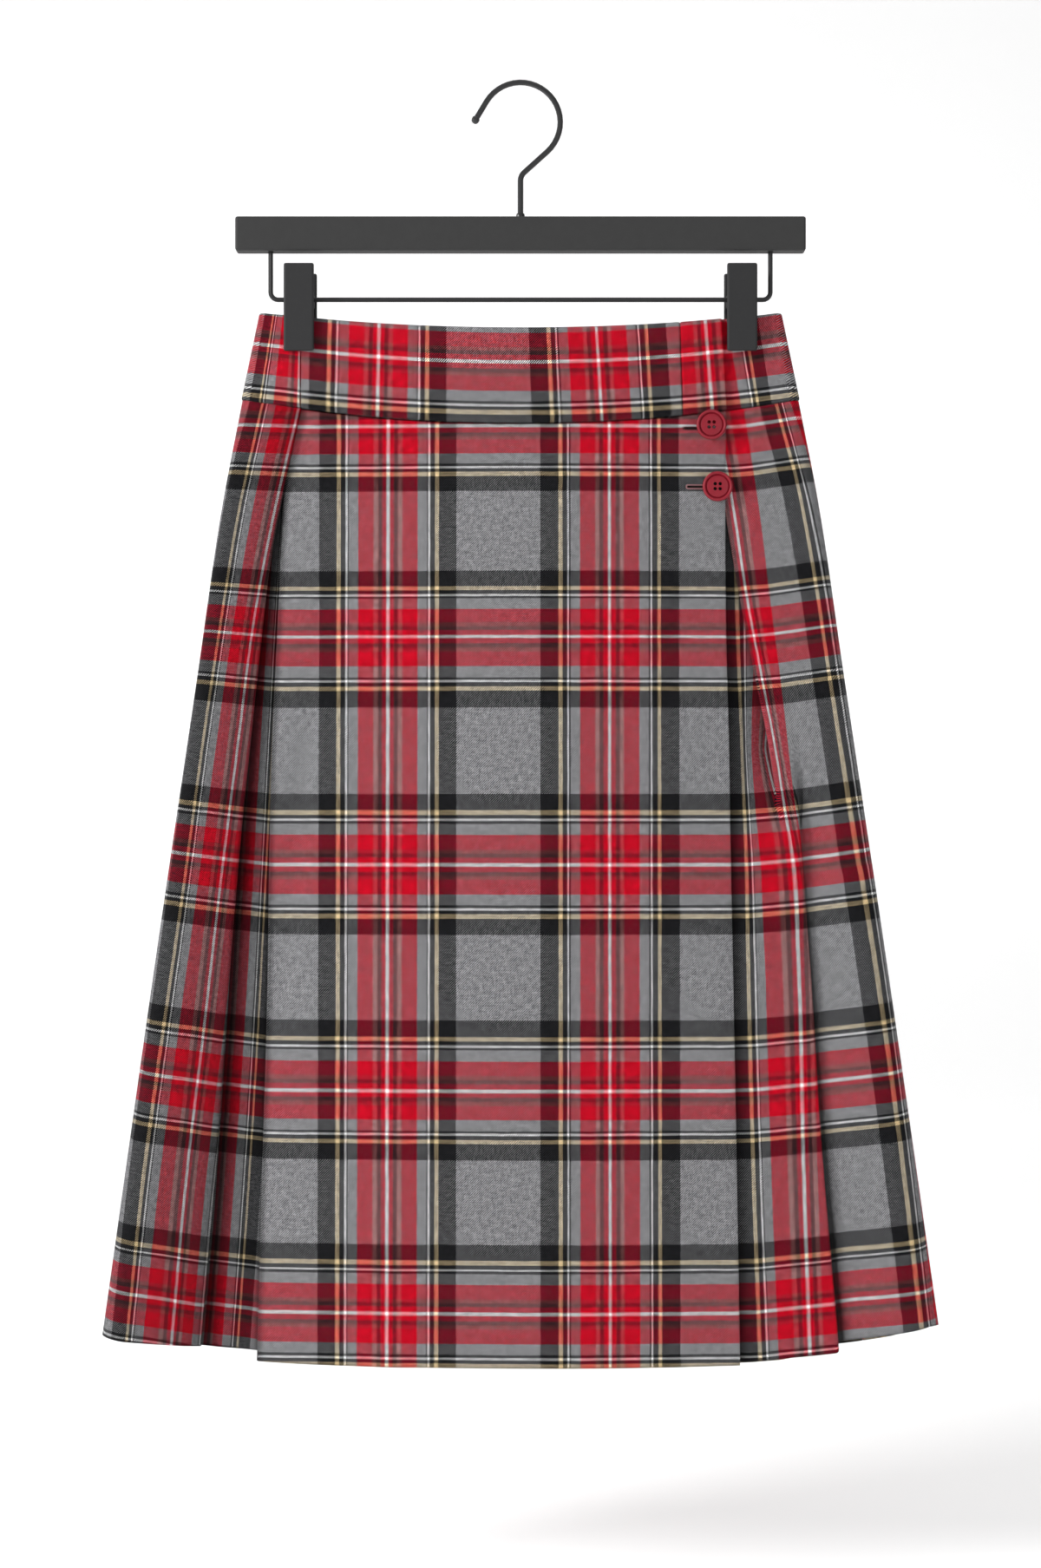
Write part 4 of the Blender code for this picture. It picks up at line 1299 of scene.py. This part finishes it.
def band_threads(x, z, ring):
    """The band's weft follows its lower edge."""
    share = side_share(x, ring)
    above = z - edge_z(WAIST_SEAM, share) + BAND_SIDE_SHIFT * share**2
    return BAND_WHITE - above


def cloth_rows(walk, heights):
    """Points, weave and painted shade marks of every row."""
    points, weave, marks = [], [], []
    skirt = heights[-1] > 0
    for height in heights:
        ring = Ring(height)
        taken = walk(ring)
        along, level, rise = np.array(taken.points).T
        x, y = ring.place(along, level)
        z = skirt_z(x, rise, ring) if skirt else band_z(x, ring)
        weft = weft_threads(x, y, z, ring) if skirt else band_threads(x, z, ring)
        points.append(np.stack([x, y, z], axis=1) * MM)
        weave.append(np.stack([taken.threads(), weft], axis=1) * MM)
        painted_hem_shade = HEM_SHADE if skirt and height == heights[-1] else 0.0
        marks.append(np.maximum(taken.painted_shade(), painted_hem_shade))
    return np.concatenate(points), np.concatenate(weave), np.concatenate(marks)


def cloth_piece(name, walk, heights, thickness, rim):
    points, weave, marks = cloth_rows(walk, heights)
    columns = len(points) // len(heights)
    bm = bmesh.new()
    bmesh.ops.create_grid(bm, x_segments=columns - 1, y_segments=len(heights) - 1, size=1.0)
    bm.verts.ensure_lookup_table()
    for vert, point in zip(bm.verts, points, strict=True):
        vert.co = Vector(point)
    mesh = finished_mesh(name, bm)
    corners = np.empty(len(mesh.loops), dtype=np.int32)
    mesh.loops.foreach_get("vertex_index", corners)
    layer = mesh.uv_layers.new(name="weave")
    layer.uv.foreach_set("vector", weave[corners].astype(np.float32).ravel())
    # The painted shade of each point goes on the mesh.
    mark = mesh.attributes.new("painted_shade", "FLOAT", "POINT")
    mark.data.foreach_set("value", marks.astype(np.float32))
    mesh.shade_smooth()
    obj = add_object(name, mesh, TARTAN)
    wall = obj.modifiers.new("wall", "SOLIDIFY")
    wall.thickness = thickness * MM
    wall.offset = 0.0
    rounding = obj.modifiers.new("rounded_rim", "BEVEL")
    rounding.width = rim * MM
    rounding.segments = 2
    rounding.limit_method = "ANGLE"
    rounding.angle_limit = math.radians(RIM_ANGLE)
    flat_area = sum(face.area for face in mesh.polygons)
    print(name, "has", len(mesh.polygons), "squares and", round(flat_area, 4), "m2 of cloth")
    return obj, flat_area


def wears(obj, node):
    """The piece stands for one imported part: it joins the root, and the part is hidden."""
    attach(obj, "root")
    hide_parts(node)
    return obj


# %% Sewing
SKIRT_LENGTH = 620.0
HEM_TURN = 1.6
BAND_ROWS = 19


def skirt_heights(rows):
    """Even heights, with one close row before the last for the turned hem."""
    even = list(np.linspace(0.0, 1.0, rows))
    return even[:-1] + [1.0 - HEM_TURN / SKIRT_LENGTH, 1.0]


def flat_width(walk, height):
    """Width of the flat cloth at one height, in metres."""
    place = np.array(walk(Ring(height)).points)[:, :2]
    return float(np.hypot(*np.diff(place, axis=0).T).sum()) * MM


def sew(name, walk, heights, thickness, rim, hangs_from):
    """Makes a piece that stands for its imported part, and tells its sheet's width, area and holder."""
    obj, flat_area = cloth_piece(f"{name}_cloth", walk, heights, thickness, rim)
    wears(obj, name)
    return obj, flat_width(walk, heights[-1]), flat_area, hangs_from


# %% Sew the skirt
HALF_BACK = BACK_FOLDS // 2
# Each piece: its name, its walk, its rows and what it hangs from.
SKIRT_PIECES = (
    ("front_apron", apron_walk, 130, "waistband_front"),
    ("under_apron", under_apron_walk, 60, "waistband_round"),
    ("right_side_panel", right_side_walk, 170, "waistband_round"),
    ("back_pleats_right", lambda ring: back_walk(ring, 0, HALF_BACK), 90, "waistband_round"),
    ("back_pleats_left", lambda ring: back_walk(ring, HALF_BACK, BACK_FOLDS - 1), 90, "waistband_round"),
    ("left_side_panel", left_side_walk, 130, "waistband_round"),
)
for name, walk, rows, hangs_from in SKIRT_PIECES:
    sew(name, walk, skirt_heights(rows), CLOTH, RIM_ROUNDING, hangs_from)

# %% Sew the waistband
BAND_PIECES = (
    ("waistband_front", band_front_walk),
    ("waistband_tab", band_tab_walk),
    ("waistband_round", band_round_walk),
)
band_heights = list(np.linspace(-1.0, 0.0, BAND_ROWS))
for name, walk in BAND_PIECES:
    sew(name, walk, band_heights, BAND_CLOTH, BAND_RIM_ROUNDING, "clip_rail")

# %% [markdown]
# ## Buttons
# Each button is turned from one profile: a rounded edge, a raised rim, a fine groove and a nearly flat
# face, then drilled with four holes. It replaces the plainer solid in the same place.

# %% Button finish
GLOSS_SPREAD = 0.16
MOTTLE_NOISE = (3.0, 0.6)
# The fine grain's scale over the mottle's, and its bump's strength and distance.
FINE_GRAIN = 6
GRAIN_BUMP = (0.25, 0.1)


def speckled_material(name, colour, roughness, grain, strength, specular=0.5):
    """A moulded or painted finish: slightly uneven colour, gloss and surface."""
    made, tree, shader = new_material(name)
    place = object_place(tree)
    mottle = noise(tree, place, grain, *MOTTLE_NOISE)
    dark = tuple(part * (1 - strength) for part in colour) + (1.0,)
    light = tuple(part * (1 + strength) for part in colour) + (1.0,)
    join(tree, mix_colour(tree, mottle, dark, light), shader.inputs["Base Color"])
    gloss = calc(tree, "MULTIPLY_ADD", mottle, GLOSS_SPREAD, roughness - GLOSS_SPREAD / 2)
    join(tree, gloss, shader.inputs["Roughness"])
    shader.inputs["Specular IOR Level"].default_value = specular
    add_bump(tree, shader, noise(tree, place, grain * FINE_GRAIN), *GRAIN_BUMP)
    return made


BUTTON_PLASTIC = speckled_material("button_plastic", (0.26, 0.010, 0.022), 0.42, 160.0, 0.12, 0.35)

# %% Turn and drill the buttons
BUTTON_THICK = 3.6
BUTTON_STEPS = 72
HOLE_RADIUS = 1.15
HOLE_OFFSET = 1.65
# The button's half section, from the middle of its back to the middle of its face: radius, height.
BUTTON_PROFILE = (
    (0.0, 0.0),
    (8.4, 0.0),
    (9.3, 0.4),
    (9.85, 1.2),
    (10.0, 2.1),
    (9.85, 2.9),
    (9.45, 3.4),
    (9.0, 3.6),
    (8.5, 3.5),
    (8.15, 3.1),
    (7.95, 2.3),
    (7.7, 1.9),
    (7.4, 2.1),
    (7.1, 2.6),
    (6.7, 2.75),
    (3.6, 2.6),
    (0.0, 2.5),
)
HOLE_CORNERS = ((-1, -1), (1, -1), (1, 1), (-1, 1))


def turned(profile, steps):
    """Spins a half profile of (radius, height) in millimetres about Z, and closes it on the axis."""
    bm = bmesh.new()
    verts = [bm.verts.new((radius * MM, 0, height * MM)) for radius, height in profile]
    edges = [bm.edges.new(pair) for pair in zip(verts, verts[1:])]
    bmesh.ops.spin(
        bm,
        geom=verts + edges,
        axis=(0, 0, 1),
        cent=(0, 0, 0),
        angle=math.tau,
        steps=steps,
        use_merge=True,
    )
    bmesh.ops.remove_doubles(bm, verts=bm.verts, dist=0.001 * MM)
    bmesh.ops.recalc_face_normals(bm, faces=bm.faces)
    return bm


def drill(obj, cutter):
    """Cuts the other object out of this one for good, and removes the cutter."""
    cut = obj.modifiers.new("drill", "BOOLEAN")
    cut.operation = "DIFFERENCE"
    cut.object = cutter
    graph = bpy.context.evaluated_depsgraph_get()
    carved = bpy.data.meshes.new_from_object(obj.evaluated_get(graph))
    obj.modifiers.remove(cut)
    obj.data = carved
    bpy.data.objects.remove(cutter)


def button_place(node):
    """From a button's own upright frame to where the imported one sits, facing the viewer."""
    low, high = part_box(node)
    middle = (Vector(low) + Vector(high)) / 2
    back = Vector((middle.x, high[1], middle.z))
    return Matrix.Translation(back) @ Matrix.Rotation(math.radians(90), 4, "X")


def make_button(node):
    blank = finished_mesh(node, turned(BUTTON_PROFILE, BUTTON_STEPS))
    obj = add_object(f"{node}_turned", blank, BUTTON_PLASTIC)
    bm = bmesh.new()
    for x, y in HOLE_CORNERS:
        spot = Matrix.Translation((x * HOLE_OFFSET * MM, y * HOLE_OFFSET * MM, BUTTON_THICK / 2 * MM))
        bmesh.ops.create_cone(
            bm,
            cap_ends=True,
            segments=24,
            radius1=HOLE_RADIUS * MM,
            radius2=HOLE_RADIUS * MM,
            depth=3 * BUTTON_THICK * MM,
            matrix=spot,
        )
    drill(obj, add_object("hole_cutter", finished_mesh("hole_cutter", bm), BUTTON_PLASTIC))
    obj.data.shade_smooth()
    obj.data.set_sharp_from_angle(angle=math.radians(50))
    # The finished piece goes to its place in its mesh, and its object stays at the origin.
    obj.data.transform(button_place(node))
    obj.data.update()
    wears(obj, node)


for node in ("button_upper", "button_lower"):
    make_button(node)
print("buttons turned")

# %% [markdown]
# ## Buttonholes
# Each buttonhole is a slit bound all round in thread, half hidden by its button. The binding is a
# flattened ring with round ends that lies on the apron, ribbed by its own stitches. A dark sliver of
# painted shade, laid over the middle of the ring, stands for the slit.

# %% Thread finish of the binding
STITCH_WAVER = 0.2 * MM
STITCH_WAVER_SCALE = 300.0
# The painted shade where one thread meets the next: the share of the thread's colour left.
STITCH_GROOVE_SHADE = 0.45
STITCH_ROUGHNESS = 0.7
STITCH_BUMP = (1.0, 0.2)


def stitched_material(name, colour, pitch):
    """Satin stitch: fine ribs side by side, with painted shade where one thread meets the next."""
    made, tree, shader = new_material(name)
    place = object_place(tree)
    waver = calc(tree, "MULTIPLY", noise(tree, place, STITCH_WAVER_SCALE), STITCH_WAVER)
    along = calc(tree, "ADD", split_xyz(tree, place)["X"], waver)
    rib = calc(tree, "PINGPONG", along, pitch * MM / 2)
    rib = calc(tree, "DIVIDE", rib, pitch * MM / 2)
    dark = tuple(part * STITCH_GROOVE_SHADE for part in colour) + (1.0,)
    join(tree, mix_colour(tree, rib, dark, (*colour, 1.0)), shader.inputs["Base Color"])
    shader.inputs["Roughness"].default_value = STITCH_ROUGHNESS
    add_bump(tree, shader, rib, *STITCH_BUMP)
    return made


STITCH_PITCH = 0.55
PINK_BINDING = stitched_material("pink_binding", (0.58, 0.28, 0.29), STITCH_PITCH)
RED_BINDING = stitched_material("red_binding", (0.20, 0.02, 0.03), STITCH_PITCH)
SLIT_SHADE = speckled_material("slit_shade", (0.012, 0.008, 0.008), 0.9, 500.0, 0.3, 0.1)

# %% Bind the buttonholes
BINDING_WIDTH = 0.5
BINDING_LIFT = 0.35
BINDING_SINK = 0.25
BINDING_ROUNDING = 0.1
# The slit is a dark sliver of painted shade that lies just over the binding's inner rim.
SLIT_LIFT = 0.45
SLIT_HALF = 0.7
SLIT_INSET = 0.9
# Each buttonhole: name, the x of its two ends, its height z, half its height, and its binding.
BUTTONHOLES = (
    ("buttonhole_upper", 107.3, 122.0, -231.0, 1.3, RED_BINDING),
    ("buttonhole_lower", 109.5, 124.0, -269.9, 1.75, PINK_BINDING),
)


def apron_face(x, z):
    """World y of the apron's outer face at a place on its right part."""
    share = abs(x) / (Ring(0.0).half_width + SIDE_STACK)
    top = float(edge_z(WAIST_SEAM, share)) - SEAM_GAP
    height = max((top - z) / (top - float(edge_z(HEM, share))), 0.0)
    ring = Ring(height)
    along = np.array([ring.front(x)])
    return float(ring.place(along, 3 * ring.pitch + CLOTH / 2)[1][0])


def stadium(bm, left, right, half, lift, z):
    """A flat ring of points with round ends, on the apron's face."""
    loop = []
    for centre, start in ((right - half, -90), (left + half, 90)):
        for step in range(13):
            angle = math.radians(start + 15 * step)
            x = centre + half * math.cos(angle)
            y = apron_face(x, z) - lift
            loop.append(bm.verts.new((x * MM, y * MM, (z + half * math.sin(angle)) * MM)))
    return loop


def ring_edges(bm, loop):
    return [bm.edges.new(pair) for pair in zip(loop, loop[1:] + loop[:1])]


def make_buttonhole(name, left, right, z, half, finish):
    bm = bmesh.new()
    shelf = BINDING_WIDTH / 4
    # The binding's section, from its outer foot to its inner foot: half the height of the ring, lift.
    profile = (
        (half, -BINDING_SINK),
        (half - BINDING_ROUNDING, BINDING_LIFT / 2),
        (half - shelf, BINDING_LIFT),
        (half - BINDING_WIDTH + shelf, BINDING_LIFT),
        (half - BINDING_WIDTH + BINDING_ROUNDING, BINDING_LIFT / 2),
        (half - BINDING_WIDTH, -BINDING_SINK),
    )
    rings = []
    for size, lift in profile:
        inset = half - size
        rings.append(ring_edges(bm, stadium(bm, left + inset, right - inset, size, lift, z)))
    for outer, inner in zip(rings, rings[1:] + rings[:1]):
        bmesh.ops.bridge_loops(bm, edges=outer + inner)
    bmesh.ops.recalc_face_normals(bm, faces=bm.faces)
    obj = add_object(name, finished_mesh(name, bm), finish)
    obj.data.shade_smooth()
    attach(obj, "root")
    bm = bmesh.new()
    loop = stadium(bm, left + SLIT_INSET, right - SLIT_INSET, SLIT_HALF, SLIT_LIFT, z)
    ring_edges(bm, loop)
    bmesh.ops.contextual_create(bm, geom=loop)
    slit = add_object(f"{name}_slit", finished_mesh(f"{name}_slit", bm), SLIT_SHADE)
    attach(slit, "root")


for hole in BUTTONHOLES:
    make_buttonhole(*hole)
print("buttonholes:", len(BUTTONHOLES))

# %% [markdown]
# ## Hanger
# The bar is painted wood or board, matt and nearly black, with a faint tooth in the paint. The wire is
# satin black steel and the clips are moulded in a fine matt grain. Their solids are already right, so
# they keep their shapes and only take these finishes.

# %% Hanger finishes
BAR_PAINT = speckled_material("bar_paint", (0.040, 0.040, 0.040), 0.6, 240.0, 0.10, 0.2)
CLIP_PLASTIC = speckled_material("clip_plastic", (0.030, 0.030, 0.031), 0.6, 420.0, 0.12, 0.2)
WIRE_BLACK = speckled_material("wire_black", (0.018, 0.018, 0.019), 0.34, 500.0, 0.2, 0.5)
HANGER_FINISHES = (
    (WIRE_BLACK, ("hanger_hook", "hook_tip", "hook_collar", "clip_rail")),
    (BAR_PAINT, ("hanger_bar",)),
    (CLIP_PLASTIC, ("clip_left_front_jaw", "clip_left_back_jaw")),
    (CLIP_PLASTIC, ("clip_right_front_jaw", "clip_right_back_jaw")),
)
for finish, nodes in HANGER_FINISHES:
    for node in nodes:
        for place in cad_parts[node].material_slots:
            place.material = finish
    print(finish.name, "on", ", ".join(nodes))
